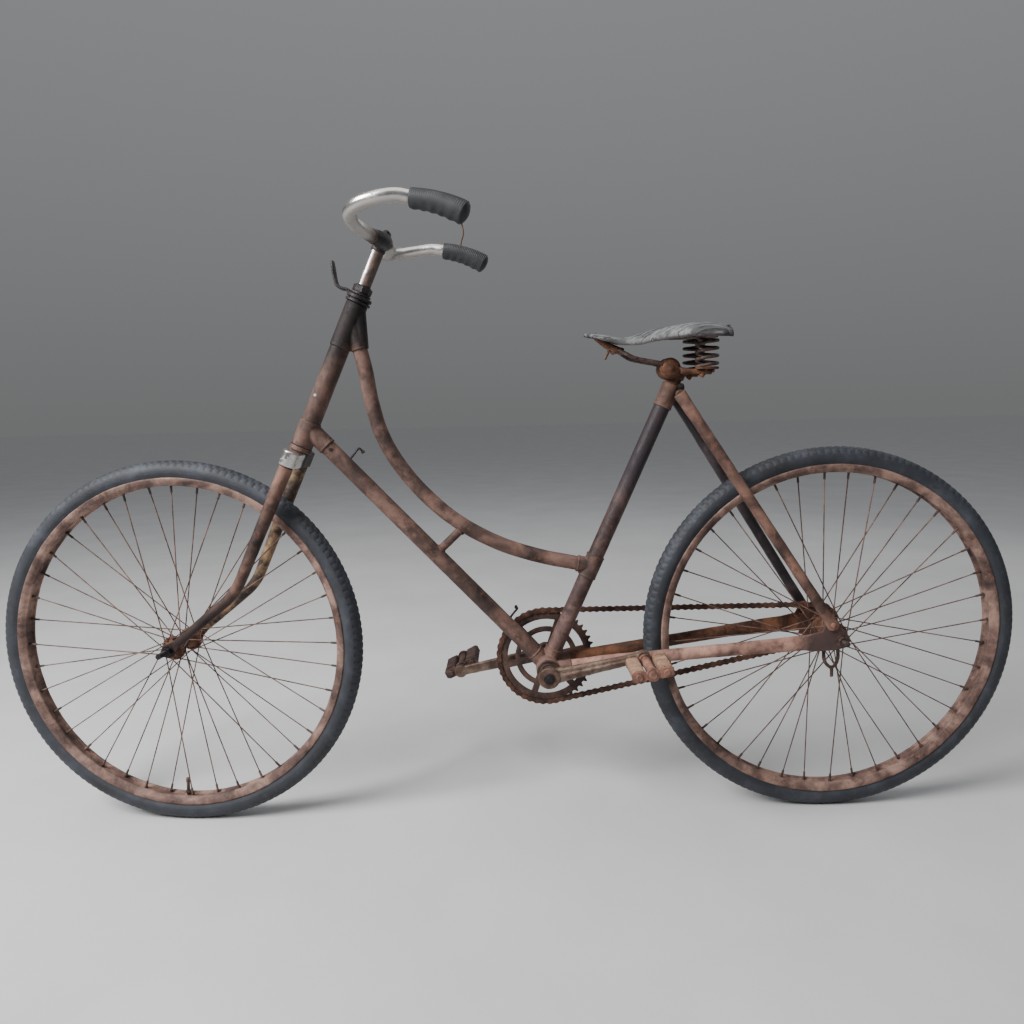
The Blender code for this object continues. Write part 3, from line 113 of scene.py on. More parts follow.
SEATSTAY_R = 0.0098
EYE_BOLT = (0.0180, 0.3610)
REAR_TIP_Y = 0.0575
FRONT_TIP_Y = 0.0475
TIP_T = 0.005

# Fork blades
BLADE_TOP_Y = 0.0365
FORK_BEND_AT = 0.1105
FORK_BEND_R = 0.110
BLADE_TOP_R = 0.0120
BLADE_TIP_R = 0.0075

# Drive
CHAIN_PITCH = 0.0127
RING_TEETH = 44
SPROCKET_TEETH = 18
CHAINLINE_Y = -0.045
CRANK_LENGTH = 0.1665
CRANK_REST = math.radians(168.3)
CRANK_Y = 0.068                 # middle of a crank arm
PEDAL_TILT = {"left": math.radians(10), "right": math.radians(27)}

# Handlebar: places of its left half when the wheel points ahead
BAR_R = 0.0111
BAR_POINTS = (
    (0.7690, 0.0000, 1.0230), (0.7680, 0.0300, 1.0195), (0.7790, 0.0600, 1.0205),
    (0.7910, 0.1000, 1.0260), (0.7905, 0.1330, 1.0335), (0.7720, 0.1530, 1.0400),
    (0.7440, 0.1605, 1.0450), (0.7150, 0.1600, 1.0480), (0.6930, 0.1570, 1.0445),
)
GRIP_END = (0.6080, 0.1640, 1.0160)

# Saddle: x, half width, height of the middle, drop of the edge
SADDLE_STATIONS = (
    (0.4340, 0.0080, 0.8645, 0.0030),
    (0.4230, 0.0190, 0.8650, 0.0060),
    (0.4020, 0.0240, 0.8625, 0.0090),
    (0.3760, 0.0280, 0.8575, 0.0110),
    (0.3480, 0.0380, 0.8605, 0.0150),
    (0.3180, 0.0560, 0.8690, 0.0185),
    (0.2800, 0.0800, 0.8750, 0.0210),
    (0.2450, 0.0920, 0.8775, 0.0230),
    (0.2190, 0.0920, 0.8755, 0.0220),
    (0.2005, 0.0760, 0.8705, 0.0170),
    (0.1920, 0.0460, 0.8680, 0.0090),
)
SADDLE_T = 0.0045
SADDLE_CLAMP = (0.2900, 0.8030)
SPRING_AT = (0.2350, 0.0450)
SPRING_R = 0.0170
SPRING_LOW = 0.8000
SPRING_TURNS = 5
SPRING_WIRE_R = 0.0028
RAIL_R = 0.0034


def joint_axis(name):
    """The place and direction of a joint of the frame."""
    joint = JOINTS[name]
    return Vector(joint["pos_m"]), Vector(joint["axis"]).normalized()


REAR_AXLE, _ = joint_axis("rear_wheel_spin")
FRONT_AXLE_NOW, FRONT_SPIN = joint_axis("front_wheel_spin")
CRANK_AXLE, _ = joint_axis("crank_spin")
HEAD_AT, HEAD_UP = joint_axis("steering")
DATUM = REAR_AXLE - UP * WHEEL_R


def spot(x, y, z):
    """A place measured from the floor under the rear axle."""
    return DATUM + Vector((x, y, z))


def head(along_axis):
    """A place on the steering axis, from the height of the front axle."""
    foot = HEAD_AT + HEAD_UP * ((REAR_AXLE.z - HEAD_AT.z) / HEAD_UP.z)
    return foot + HEAD_UP * along_axis


# How far the fork is turned at rest, and the places that turn with it
_side = HEAD_UP.cross(LEFT)
STEER_REST = math.atan2(FRONT_SPIN.dot(_side), FRONT_SPIN.dot(LEFT))
STEER = Quaternion(HEAD_UP, STEER_REST)
STEERED = (Matrix.Translation(head(0)) @ STEER.to_matrix().to_4x4()
           @ Matrix.Translation(-head(0)))
FRONT_AXLE = STEERED.inverted() @ FRONT_AXLE_NOW
BB = Vector(CRANK_AXLE)
SEAT_UP = Vector((-math.cos(SEAT_ANGLE), 0, math.sin(SEAT_ANGLE)))


def seat_tube(along_axis):
    """A place on the seat tube's axis, from the crank axle."""
    return BB + SEAT_UP * along_axis


def facing(place, direction, roll_to=None):
    """The matrix whose Z runs along direction from place; X leans to roll_to if that is given."""
    z = Vector(direction).normalized()
    lean = Vector(roll_to) if roll_to is not None else (UP if abs(z.z) < 0.9 else LEFT)
    y = z.cross(lean).normalized()
    x = y.cross(z)
    turn = Matrix((x, y, z)).transposed().to_4x4()
    return Matrix.Translation(place) @ turn


def smooth_path(points, per_span=6):
    """A Catmull-Rom curve through points."""
    points = [Vector(p) for p in points]
    padded = [points[0] * 2 - points[1]] + points + [points[-1] * 2 - points[-2]]
    path = []
    for a, b, c, d in zip(padded, padded[1:], padded[2:], padded[3:]):
        for i in range(per_span):
            t = i / per_span
            path.append(0.5 * (2 * b + (c - a) * t + (2 * a - 5 * b + 4 * c - d) * t * t
                               + (3 * b - a - 3 * c + d) * t ** 3))
    path.append(points[-1])
    return path


def rounded_path(points, radius, step=math.radians(4)):
    """Points along straight lines whose corners are arcs of one radius."""
    points = [Vector(p) for p in points]
    path = [points[0]]
    for before, corner, after in zip(points, points[1:], points[2:]):
        to_before = (before - corner).normalized()
        to_after = (after - corner).normalized()
        opening = to_before.angle(to_after)
        reach = radius / math.tan(opening / 2)
        middle = corner + (to_before + to_after).normalized() * radius / math.sin(opening / 2)
        spin_axis = to_before.cross(to_after).normalized() * -1
        count = max(2, round((math.pi - opening) / step))
        first = corner + to_before * reach - middle
        for i in range(count + 1):
            path.append(middle + Quaternion(spin_axis, (math.pi - opening) * i / count) @ first)
    path.append(points[-1])
    return path


def straight(start, end, count):
    """Evenly spaced points from start to end."""
    start = Vector(start)
    end = Vector(end)
    return [start.lerp(end, i / (count - 1)) for i in range(count)]


def blend_value(table, t):
    """A value between the rows (t, value) of a table."""
    for (t0, v0), (t1, v1) in zip(table, table[1:]):
        if t <= t1:
            return v0 + (v1 - v0) * max(0.0, (t - t0) / (t1 - t0))
    return table[-1][1]


class Shape:
    """Corners and faces gathered for one piece."""

    def __init__(self):
        self.corners = []
        self.faces = []

    def skin(self, rings, cyclic=False, caps=True, closed=True):
        """A skin over rings of equally many points."""
        first = len(self.corners)
        count = len(rings[0])
        rows = len(rings)
        for ring in rings:
            self.corners.extend(ring)
        for r in range(rows if cyclic else rows - 1):
            a = first + r * count
            b = first + (r + 1) % rows * count
            for i in range(count if closed else count - 1):
                j = (i + 1) % count
                self.faces.append((a + i, a + j, b + j, b + i))
        if caps and not cyclic:
            self.faces.append(tuple(range(first + count - 1, first - 1, -1)))
            self.faces.append(tuple(range(first + (rows - 1) * count, first + rows * count)))

    def sweep(self, points, sizes, side=LEFT, sides=32, power=2.0, shape=None, cyclic=False):
        """A tube along points; a size is a radius, or half widths along side and across it."""
        points = [Vector(p) for p in points]
        count = len(points)
        if not isinstance(sizes, list):
            sizes = [sizes] * count
        rings = []
        for i, point in enumerate(points):
            after = points[(i + 1) % count] if cyclic else points[min(i + 1, count - 1)]
            before = points[i - 1] if cyclic or i else points[0]
            tangent = (after - before).normalized()
            s = (side - tangent * side.dot(tangent)).normalized()
            u = tangent.cross(s)
            a, b = sizes[i] if isinstance(sizes[i], tuple) else (sizes[i], sizes[i])
            ring = []
            for k in range(sides):
                angle = 2 * math.pi * k / sides
                c = math.cos(angle)
                n = math.sin(angle)
                grow = shape(i / (count - 1), angle) if shape else 1.0
                c = math.copysign(abs(c) ** (2 / power), c) * grow
                n = math.copysign(abs(n) ** (2 / power), n) * grow
                ring.append(point + s * a * c + u * b * n)
            rings.append(ring)
        self.skin(rings, cyclic=cyclic)

    def turn(self, profile, matrix, steps=48, ring=False, shape=None):
        """A profile of (radius, height) pairs turned about the matrix's Z."""
        rings = []
        for k in range(steps):
            angle = 2 * math.pi * k / steps
            c = math.cos(angle)
            n = math.sin(angle)
            row = []
            for i, (r, z) in enumerate(profile):
                r = r + shape(k, i) if shape else r
                row.append(matrix @ Vector((r * c, r * n, z)))
            rings.append(row)
        self.skin(rings, cyclic=True, closed=ring)

    def plate(self, outline, thickness, matrix, lip=0.0):
        """A flat plate whose outline lies in the matrix's XY plane, with softened edges."""
        flat = [Vector(p).to_2d() for p in outline]
        count = len(flat)
        area = sum(a.x * b.y - b.x * a.y for a, b in zip(flat, flat[1:] + flat[:1]))
        inward = 1 if area > 0 else -1
        small = []
        for i, point in enumerate(flat):
            run = (flat[(i + 1) % count] - flat[i - 1]).normalized()
            small.append(point + Vector((-run.y, run.x)) * inward * lip)
        half = thickness / 2
        rows = ([(small, -half)] if lip else []) + [(flat, lip - half), (flat, half - lip)]
        rows += [(small, half)] if lip else []
        self.skin([[matrix @ Vector((p.x, p.y, z)) for p in ring] for ring, z in rows])

    def rod(self, start, end, radius, sides=24, lip=0.0):
        """A straight round rod with softened ends."""
        start = Vector(start)
        end = Vector(end)
        length = (end - start).length
        profile = [(0.0, length), (radius - lip, length), (radius, length - lip), (radius, lip),
                   (radius - lip, 0.0), (0.0, 0.0)]
        self.turn(profile, facing(start, end - start), sides)


def circle(radius, count, start=0.0, turn=2 * math.pi, centre=(0, 0), closed=True):
    """Points round a circle or an arc."""
    last = count if closed else count - 1
    return [Vector((centre[0] + radius * math.cos(start + turn * i / last),
                    centre[1] + radius * math.sin(start + turn * i / last))) for i in range(count)]


# Share of a melted skin's triangles that is kept
MELTED_SHARE = 0.42


def piece(name, shape, material, body, nodes=(), sharp=32, steered=False,
          rough=0.0, grain=0.02, melt=0.0, calm=4):
    """Make one piece of the bicycle from a shape, and let it ride on its body."""
    mesh = bpy.data.meshes.new(name)
    mesh.from_pydata(shape.corners, [], shape.faces)
    work = bmesh.new()
    work.from_mesh(mesh)
    bmesh.ops.remove_doubles(work, verts=work.verts, dist=1e-6)
    bmesh.ops.recalc_face_normals(work, faces=work.faces)
    work.to_mesh(mesh)
    work.free()
    if steered:
        mesh.transform(STEERED)
    obj = bpy.data.objects.new(name, mesh)
    bpy.context.scene.collection.objects.link(obj)
    if melt:
        remesh = obj.modifiers.new("melt", "REMESH")
        remesh.mode = "VOXEL"
        remesh.voxel_size = melt
        soften = obj.modifiers.new("soften", "SMOOTH")
        soften.iterations = calm
        thin = obj.modifiers.new("thin", "DECIMATE")
        thin.ratio = MELTED_SHARE
        graph = bpy.context.evaluated_depsgraph_get()
        melted = bpy.data.meshes.new_from_object(obj.evaluated_get(graph))
        obj.modifiers.clear()
        obj.data = melted
        bpy.data.meshes.remove(mesh)
        mesh = melted
        mesh.name = name
    if rough:
        normals = [normal.vector.copy() for normal in mesh.vertex_normals]
        moved = []
        for corner, normal in zip(mesh.vertices, normals):
            push = noise.fractal(corner.co / grain, 1.0, 2.0, 3)
            moved.extend(corner.co + normal * push * rough)
        mesh.vertices.foreach_set("co", moved)
        mesh.update()
    mesh.materials.clear()
    mesh.materials.append(material)
    mesh.shade_smooth()
    mesh.set_sharp_from_angle(angle=math.radians(180 if melt else sharp))
    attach(obj, body)
    if nodes:
        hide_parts(*nodes)
    return obj


# Materials


def paint(red, green, blue):
    """A colour given as it looks on a screen, 0 to 255."""
    return tuple(((v / 255 + 0.055) / 1.055) ** 2.4 if v > 10 else v / 255 / 12.92
                 for v in (red, green, blue))


class Look:
    """One material, built up from nodes that read the piece's own coordinates."""

    def __init__(self, name):
        self.material = bpy.data.materials.new(name)
        self.material.use_nodes = True
        self.tree = self.material.node_tree
        self.shader = self.tree.nodes["Principled BSDF"]
        self.where = self.node("ShaderNodeTexCoord").outputs["Object"]

    def node(self, kind, **values):
        made = self.tree.nodes.new(kind)
        for name, value in values.items():
            setattr(made, name, value)
        return made

    def feed(self, socket, value):
        if isinstance(value, bpy.types.NodeSocket):
            self.tree.links.new(value, socket)
        elif isinstance(value, tuple) and len(value) == 3 and socket.type == "RGBA":
            socket.default_value = (*value, 1.0)
        else:
            socket.default_value = value

    def stretched(self, scale):
        """Coordinates stretched by a scale along each axis."""
        mapping = self.node("ShaderNodeMapping")
        self.feed(mapping.inputs["Vector"], self.where)
        mapping.inputs["Scale"].default_value = scale
        return mapping.outputs["Vector"]

    def cloud(self, scale, detail=5.0, roughness=0.6, where=None, distortion=0.0):
        made = self.node("ShaderNodeTexNoise")
        self.feed(made.inputs["Vector"], where or self.where)
        made.inputs["Scale"].default_value = scale
        made.inputs["Detail"].default_value = detail
        made.inputs["Roughness"].default_value = roughness
        made.inputs["Distortion"].default_value = distortion
        return made.outputs["Fac"]

    def cells(self, scale, where=None, feature="F1"):
        made = self.node("ShaderNodeTexVoronoi", feature=feature)
        self.feed(made.inputs["Vector"], where or self.where)
        made.inputs["Scale"].default_value = scale
        return made.outputs["Distance"]

    def level(self, value, low, high, to_low=0.0, to_high=1.0):
        made = self.node("ShaderNodeMapRange")
        self.feed(made.inputs["Value"], value)
        made.inputs["From Min"].default_value = low
        made.inputs["From Max"].default_value = high
        made.inputs["To Min"].default_value = to_low
        made.inputs["To Max"].default_value = to_high
        return made.outputs["Result"]

    def ramp(self, value, stops):
        made = self.node("ShaderNodeValToRGB")
        self.feed(made.inputs["Fac"], value)
        points = made.color_ramp.elements
        while len(points) < len(stops):
            points.new(1.0)
        for point, (at, color) in zip(points, stops):
            point.position = at
            point.color = (*color, 1.0)
        return made.outputs["Color"]

    def mix(self, share, first, second, mode="MIX"):
        made = self.node("ShaderNodeMix", data_type="RGBA", blend_type=mode)
        self.feed(made.inputs[0], share)
        self.feed(made.inputs[6], first)
        self.feed(made.inputs[7], second)
        return made.outputs[2]

    def math(self, operation, first, second):
        made = self.node("ShaderNodeMath", operation=operation)
        self.feed(made.inputs[0], first)
        self.feed(made.inputs[1], second)
        return made.outputs[0]

    def along(self, axis):
        """One of the piece's own coordinates."""
        split = self.node("ShaderNodeSeparateXYZ")
        self.feed(split.inputs[0], self.where)
        return split.outputs[axis]

    def normal(self, axis):
        """How far the surface faces along an axis."""
        split = self.node("ShaderNodeSeparateXYZ")
        self.feed(split.inputs[0], self.node("ShaderNodeNewGeometry").outputs["Normal"])
        return split.outputs[axis]

    def bump(self, height, distance, strength=1.0):
        made = self.node("ShaderNodeBump")
        made.inputs["Strength"].default_value = strength
        made.inputs["Distance"].default_value = distance
        self.feed(made.inputs["Height"], height)
        self.feed(self.shader.inputs["Normal"], made.outputs["Normal"])

    def finish(self, color, roughness, metallic=0.0):
        self.feed(self.shader.inputs["Base Color"], color)
        self.feed(self.shader.inputs["Roughness"], roughness)
        self.feed(self.shader.inputs["Metallic"], metallic)
        return self.material


def rusty_paint(name, light, middle, dark, orange, gloss=0.62, patch=14.0, dark_share=0.5, shade=None):
    """Old paint rusted through: soft patches, dark stains, orange bloom and fine pits.

    A shade is (axis, from, to, colour): old black paint that is left beyond a place along an axis.
    """
    look = Look(name)
    broad = look.cloud(patch, 6.0, 0.65, distortion=0.4)
    base = look.ramp(broad, [(0.30, dark), (0.47, middle), (0.62, light)])
    stain = look.level(look.cloud(patch * 2.3, 8.0, 0.7), 0.52, 0.66, 0.0, dark_share)
    base = look.mix(stain, base, dark)
    bloom = look.level(look.cloud(patch * 5.0, 8.0, 0.72), 0.56, 0.70)
    base = look.mix(look.math("MULTIPLY", bloom, 0.75), base, orange)
    if shade:
        axis, first, last, color = shade
        edge = look.math("ADD", look.along(axis), look.level(look.cloud(60.0, 6.0, 0.7), 0.3, 0.7, -0.012, 0.012))
        base = look.mix(look.level(edge, first, last, 0.0, 0.9), base, color)
    speck = look.level(look.cells(620.0), 0.10, 0.32)
    base = look.mix(look.level(speck, 0.0, 1.0, 0.45, 0.0), base, dark)
    fine = look.cloud(700.0, 4.0, 0.7)
    height = look.math("ADD", look.math("MULTIPLY", speck, 0.6), fine)
    height = look.math("ADD", height, look.math("MULTIPLY", look.cloud(160.0, 6.0, 0.7), 1.4))
    look.bump(height, 0.0006, 0.75)
    rough = look.level(look.math("ADD", broad, stain), 0.3, 1.2, gloss - 0.10, gloss + 0.20)
    look.shader.inputs["Specular IOR Level"].default_value = 0.28
    return look.finish(base, rough, 0.0)


def make_materials():
    """Every finish of the bicycle, by name."""
    made = {}
    black = paint(15, 13, 16)
    brown = paint(118, 90, 80), paint(73, 55, 49), paint(27, 21, 20), paint(112, 74, 52)
    made["frame"] = rusty_paint("frame_rust", *brown, dark_share=0.65)
    made["head"] = rusty_paint("head_rust", paint(104, 79, 70), paint(64, 48, 43), paint(24, 19, 18),
                               paint(104, 69, 49), shade=("Z", head(0.540).z, head(0.580).z, black))
    pink = paint(130, 97, 84), paint(84, 62, 54), paint(30, 23, 22), paint(118, 77, 54)
    made["tube"] = rusty_paint("stay_rust", *pink, dark_share=0.6)
    made["fork"] = rusty_paint("fork_rust", *pink, dark_share=0.55,
                               shade=("Z", head(0.15).z, head(0.07).z, paint(27, 20, 19)))
    # Darker copy of the fork's rust for the far blade: painted shade.
    made["shaded_far_fork"] = rusty_paint("far_fork_rust", paint(150, 122, 92), paint(66, 54, 46),
                                   paint(20, 17, 18), paint(128, 78, 46), patch=24.0, dark_share=0.7)
    made["seat_tube"] = rusty_paint("seat_tube_rust", paint(112, 86, 80), paint(68, 51, 48), paint(28, 22, 23),
                                    paint(112, 74, 56), gloss=0.50, dark_share=0.65,
                                    shade=("Z", seat_tube(0.29).z, seat_tube(0.36).z, paint(44, 38, 43)))
    made["stay"] = rusty_paint("chainstay_rust", paint(172, 132, 116), paint(132, 99, 88),
                               paint(50, 37, 36), paint(150, 104, 76), patch=22.0,
                               shade=("X", spot(0.085, 0, 0).x, spot(0.050, 0, 0).x, paint(66, 52, 50)))
    # Darker copy of the stays' rusty paint for the far seat stay: painted shade.
    made["shaded_far_stay_paint"] = rusty_paint("shaded_far_stay_paint", paint(74, 62, 64), paint(48, 41, 44),
                                     paint(30, 27, 30), paint(86, 62, 54), gloss=0.42,
                                     dark_share=0.6)
    made["rust"] = rusty_paint("orange_rust", paint(116, 78, 56), paint(80, 52, 38),
                               paint(38, 27, 24), paint(122, 78, 50), gloss=0.78, patch=34.0)
    made["rim"] = rusty_paint("rim_rust", paint(146, 118, 106), paint(98, 76, 69),
                              paint(44, 34, 32), paint(142, 98, 72), gloss=0.62, patch=20.0)
    made["spoke"] = rusty_paint("spoke_rust", paint(122, 94, 82), paint(80, 60, 53),
                                paint(46, 35, 34), paint(132, 90, 66), patch=30.0)
    made["chain"] = rusty_paint("chain_rust", paint(96, 64, 50), paint(66, 44, 36),
                                paint(32, 24, 24), paint(104, 64, 45), gloss=0.7, patch=60.0)
    made["ring"] = rusty_paint("ring_rust", paint(84, 62, 54), paint(58, 43, 38),
                               paint(30, 25, 25), paint(110, 72, 52), gloss=0.6, patch=40.0)
    made["black"] = rusty_paint("black_steel", paint(46, 39, 39), paint(27, 23, 24),
                                paint(15, 13, 14), paint(84, 56, 43), gloss=0.45, patch=40.0)
    made["spring"] = rusty_paint("spring_rust", paint(96, 74, 66), paint(60, 46, 42),
                                 paint(32, 26, 26), paint(116, 78, 56), gloss=0.5, patch=60.0)
    made["pedal"] = rusty_paint("pedal_rust", paint(152, 112, 96), paint(116, 82, 70),
                                paint(60, 44, 40), paint(140, 90, 62), gloss=0.7, patch=40.0)
    made["bar"] = chrome("bar_chrome", (-0.014, -0.006, 0.062, 0.098))
    # The crown's far half takes the dark stain colours: painted shadow on its far sleeve.
    made["crown"] = chrome("crown_chrome", (-0.100, -0.090, 0.010, 0.020),
                           stain_and_shade_colors=((20, 18, 19), (36, 32, 32), (70, 56, 48)))
    # The stem's side turned away from the key light is painted brown: rust with painted shade.
    made["stem"] = chrome("stem_chrome", rust_and_shade_behind=True)
    made["chrome"] = chrome("worn_chrome")
    made["crank"] = crank_steel("crank_steel")
    made["tyre"] = tyre_rubber("old_tyre")
    made["grip"] = grip_rubber("grip_rubber")
    # A near-black finish standing in for the inside of a hole: painted shade.
    made["hole"] = Look("hole_shade_black").finish(paint(12, 10, 10), 0.9)
    made["chip"] = Look("pale_chip").finish(paint(196, 192, 186), 0.6)
    made["block"] = pedal_rubber("pedal_rubber", (108, 80, 64), (150, 117, 94), (178, 146, 122))
    # Darker copy of the pedal rubber for the far pedal: painted shade.
    made["shaded_far_block"] = pedal_rubber("shaded_pedal_rubber", (40, 30, 29), (66, 46, 42), (92, 64, 54))
    made["leather"] = old_leather("old_leather")
    return made


def chrome(name, dull=None, rust_and_shade_behind=False, stain_and_shade_colors=((40, 30, 28), (70, 51, 44), (108, 76, 58))):
    """Chrome with freckles of rust, and painted shade: faces turned downward are darker and duller.

    Dull is four places across the bicycle: between the middle two the stain colours take over, where the chrome is gone
    to rust on the handlebar and as painted shadow over the far half of the fork crown.
    """
    look = Look(name)
    rust = look.level(look.cloud(34.0, 9.0, 0.72), 0.56, 0.68)
    # Painted shade: faces turned downward take up to half the stain colours, darker, duller and less metallic; from
    # here the rust mask carries this shade as well as rust.
    under = look.level(look.normal("Z"), -0.1, -0.9, 0.0, 0.5)
    rust = look.math("MAXIMUM", rust, under)
    ragged = look.level(look.cloud(70.0, 6.0, 0.7), 0.3, 0.7, -1.0, 1.0)
    if rust_and_shade_behind:
        # Rust with painted shade: faces turned away from the key light, towards -X, take the stain colours.
        behind = look.math("ADD", look.normal("X"), look.math("MULTIPLY", ragged, 0.12))
        rust = look.math("MAXIMUM", rust, look.level(behind, 0.50, 0.05, 0.0, 0.95))
    if dull:
        far, far_full, near_full, near = dull
        across = look.math("ADD", look.along("Y"), look.math("MULTIPLY", ragged, 0.004))
        share = look.math("MULTIPLY", look.level(across, far, far_full), look.level(across, near_full, near, 0.97, 0.0))
        rust = look.math("MAXIMUM", rust, share)
    stain = look.ramp(look.cloud(80.0, 7.0, 0.7), [(at, paint(*color)) for at, color in
                                                   zip((0.35, 0.50, 0.66), stain_and_shade_colors)])
    color = look.mix(rust, paint(200, 197, 192), stain)
    rough = look.level(rust, 0.0, 1.0, 0.22, 0.72)
    rough = look.math("ADD", rough, look.level(look.cloud(60.0, 5.0, 0.6), 0.4, 0.7, 0.0, 0.10))
    look.bump(look.math("ADD", rust, look.cloud(500.0, 4.0, 0.7)), 0.00012, 0.4)
    return look.finish(color, rough, look.level(rust, 0.0, 0.6, 1.0, 0.1))


def crank_steel(name):
    """Grey steel with patches of tan rust and dark pits."""
    look = Look(name)
    base = look.ramp(look.cloud(36.0, 7.0, 0.68),
                     [(0.30, paint(44, 33, 29)), (0.46, paint(84, 66, 57)),
                      (0.62, paint(128, 110, 96))])
    rust = look.level(look.cloud(70.0, 8.0, 0.7), 0.47, 0.62)
    base = look.mix(look.math("MULTIPLY", rust, 0.8), base, paint(92, 65, 49))
    speck = look.level(look.cells(420.0), 0.06, 0.24)
    base = look.mix(look.level(speck, 0.0, 1.0, 0.55, 0.0), base, paint(58, 44, 40))
    look.bump(look.math("ADD", speck, look.cloud(240.0, 6.0, 0.7)), 0.0006, 0.8)
    return look.finish(base, look.level(rust, 0.0, 1.0, 0.46, 0.78), look.level(rust, 0.0, 1.0, 0.55, 0.0))


def tyre_rubber(name):
    """Grey perished rubber with patches of dust and fine cracks."""
    look = Look(name)
    base = look.ramp(look.cloud(18.0, 6.0, 0.62), [(0.32, paint(26, 28, 33)), (0.55, paint(39, 42, 49)),
                                                   (0.72, paint(60, 63, 71))])
    dust = look.level(look.cloud(90.0, 7.0, 0.7), 0.54, 0.74, 0.0, 0.30)
    base = look.mix(dust, base, paint(96, 90, 86))
    crack = look.level(look.cells(260.0, feature="DISTANCE_TO_EDGE"), 0.0, 0.08)
    look.bump(look.math("ADD", look.math("MULTIPLY", crack, 0.5), look.cloud(420.0, 5.0, 0.7)),
              0.0005, 0.6)
    return look.finish(base, look.level(dust, 0.0, 0.5, 0.62, 0.86), 0.0)


def grip_rubber(name):
    """Dark rubber, dusty on top."""
    look = Look(name)
    base = look.ramp(look.cloud(50.0, 6.0, 0.65), [(0.35, paint(24, 25, 27)), (0.65, paint(42, 43, 46))])
    dust = look.math("MULTIPLY", look.level(look.normal("Z"), 0.0, 1.0),
                     look.level(look.cloud(70.0, 6.0, 0.7), 0.40, 0.70))
    base = look.mix(look.math("MULTIPLY", dust, 0.38), base, paint(96, 96, 99))
    look.bump(look.cloud(380.0, 5.0, 0.7), 0.0004, 0.6)
    return look.finish(base, 0.62, 0.0)


def pedal_rubber(name, dark, middle, light):
    """Perished rubber under a crust of rust and dust."""
    look = Look(name)
    base = look.ramp(look.cloud(60.0, 7.0, 0.7), [(0.32, paint(*dark)), (0.5, paint(*middle)), (0.68, paint(*light))])
    crack = look.level(look.cells(240.0, feature="DISTANCE_TO_EDGE"), 0.0, 0.07)
    base = look.mix(look.level(crack, 0.0, 1.0, 0.5, 0.0), base, paint(*[v * 0.6 for v in dark]))
    look.bump(look.math("ADD", crack, look.cloud(300.0, 5.0, 0.7)), 0.0006, 0.7)
    return look.finish(base, 0.85, 0.0)


def old_leather(name):
    """Grey weathered leather with long creases, and painted shade: faces turned sideways and downward grow darker
    brown.
    """
    look = Look(name)
    streak = look.cloud(1.0, 7.0, 0.62, where=look.stretched((10.0, 130.0, 40.0)), distortion=0.35)
    base = look.ramp(streak, [(0.32, paint(30, 30, 31)), (0.46, paint(70, 70, 71)),
                              (0.64, paint(122, 123, 124))])
    stain = look.level(look.cloud(26.0, 7.0, 0.7), 0.54, 0.70, 0.0, 0.55)
    base = look.mix(stain, base, paint(58, 52, 50))
    fold = look.cloud(1.0, 3.0, 0.5, where=look.stretched((7.0, 78.0, 26.0)), distortion=0.25)
    crease = look.level(look.math("ABSOLUTE", look.math("SUBTRACT", fold, 0.5), 0.0), 0.0, 0.022)
    base = look.mix(look.level(crease, 0.0, 1.0, 0.8, 0.0), base, paint(24, 22, 22))
    # Painted shade: faces turned sideways and downward are mixed towards dark brown.
    under = look.level(look.normal("Z"), -0.25, 0.15, 1.0, 0.0)
    base = look.mix(under, base, paint(48, 41, 39))
    height = look.math("ADD", look.math("MULTIPLY", crease, 0.8), look.math("MULTIPLY", streak, 0.7))
    look.bump(height, 0.0012, 0.8)
    return look.finish(base, 0.66, 0.0)


M = make_materials()


# Wheels


def add_tyre(word, matrix, body):
    """A round tyre with tread blocks on its crown and ribs on its sides."""
    centre_r = WHEEL_R - TYRE_R
    across = 46
    reach = math.radians(118)
    angles = [reach - 2 * reach * i / across for i in range(across + 1)]
    profile = [(centre_r + TYRE_R * math.cos(a), TYRE_R * math.sin(a)) for a in angles]
    bead = [(RIM_FLANGE_R - 0.002, -0.0142), (0.2975, -0.0135), (0.2975, 0.0135),
            (RIM_FLANGE_R - 0.002, 0.0142)]
    rows = (8, 12, 30, 35, 66)      # degrees from the crown where ribs and blocks start and end

    def tread(k, i):
        if i > across:
            return 0.0
        angle = abs(math.degrees(angles[i]))
        if angle > rows[4]:
            lines = (74, 98, 103)
            return -0.0005 if any(abs(angle - line) < 2.0 for line in lines) else 0.0
        if rows[0] <= angle < rows[1] or rows[2] <= angle < rows[3]:
            return -TREAD_H * 0.7
        if angle < rows[0]:
            return -TREAD_H * 0.6 if k % 6 < 2 else 0.0
        shift = 3 if angle > rows[3] else 0
        return -TREAD_H if (k + shift) % 6 < 2 else 0.0

    shape = Shape()
    shape.turn(profile + bead, matrix, TREAD_BLOCKS * 6, ring=True, shape=tread)
    piece(f"{word}_tyre_rubber", shape, M["tyre"], body, [f"{word}_tyre"], sharp=50)


def add_rim(word, matrix, body):
    """A steel rim with rolled edges, a shallow channel inside and pitted sides."""
    half = RIM_HALF
    roll = 0.0026
    profile = []
    for i in range(9):
        a = math.radians(-20 + 200 * i / 8)
        profile.append((RIM_FLANGE_R - roll + roll * math.sin(a), half - roll + roll * math.cos(a)))
    profile += [(0.2985, half - 2 * roll), (0.2970, half - 3 * roll)]
    profile += [(r, -z) for r, z in profile[::-1]]
    outer = [(0.2965, -half + 0.0004), (0.2925, -half + 0.0018), (0.2896, -half + 0.0045)]
    for i in range(7):
        a = math.radians(-90 + 180 * i / 6)
        outer.append((0.2896 - 0.0024 * math.cos(a), -half + 0.0075 + 0.0030 * math.sin(a)))
    outer += [(0.2902, -0.0050), (0.2905, 0.0)]
    inner = outer + [(r, -z) for r, z in outer[-2::-1]]
    shape = Shape()
    shape.turn(profile + inner, matrix, 240, ring=True)
    piece(f"{word}_rim_steel", shape, M["rim"], body, [f"{word}_rim"], rough=0.0003, grain=0.012)


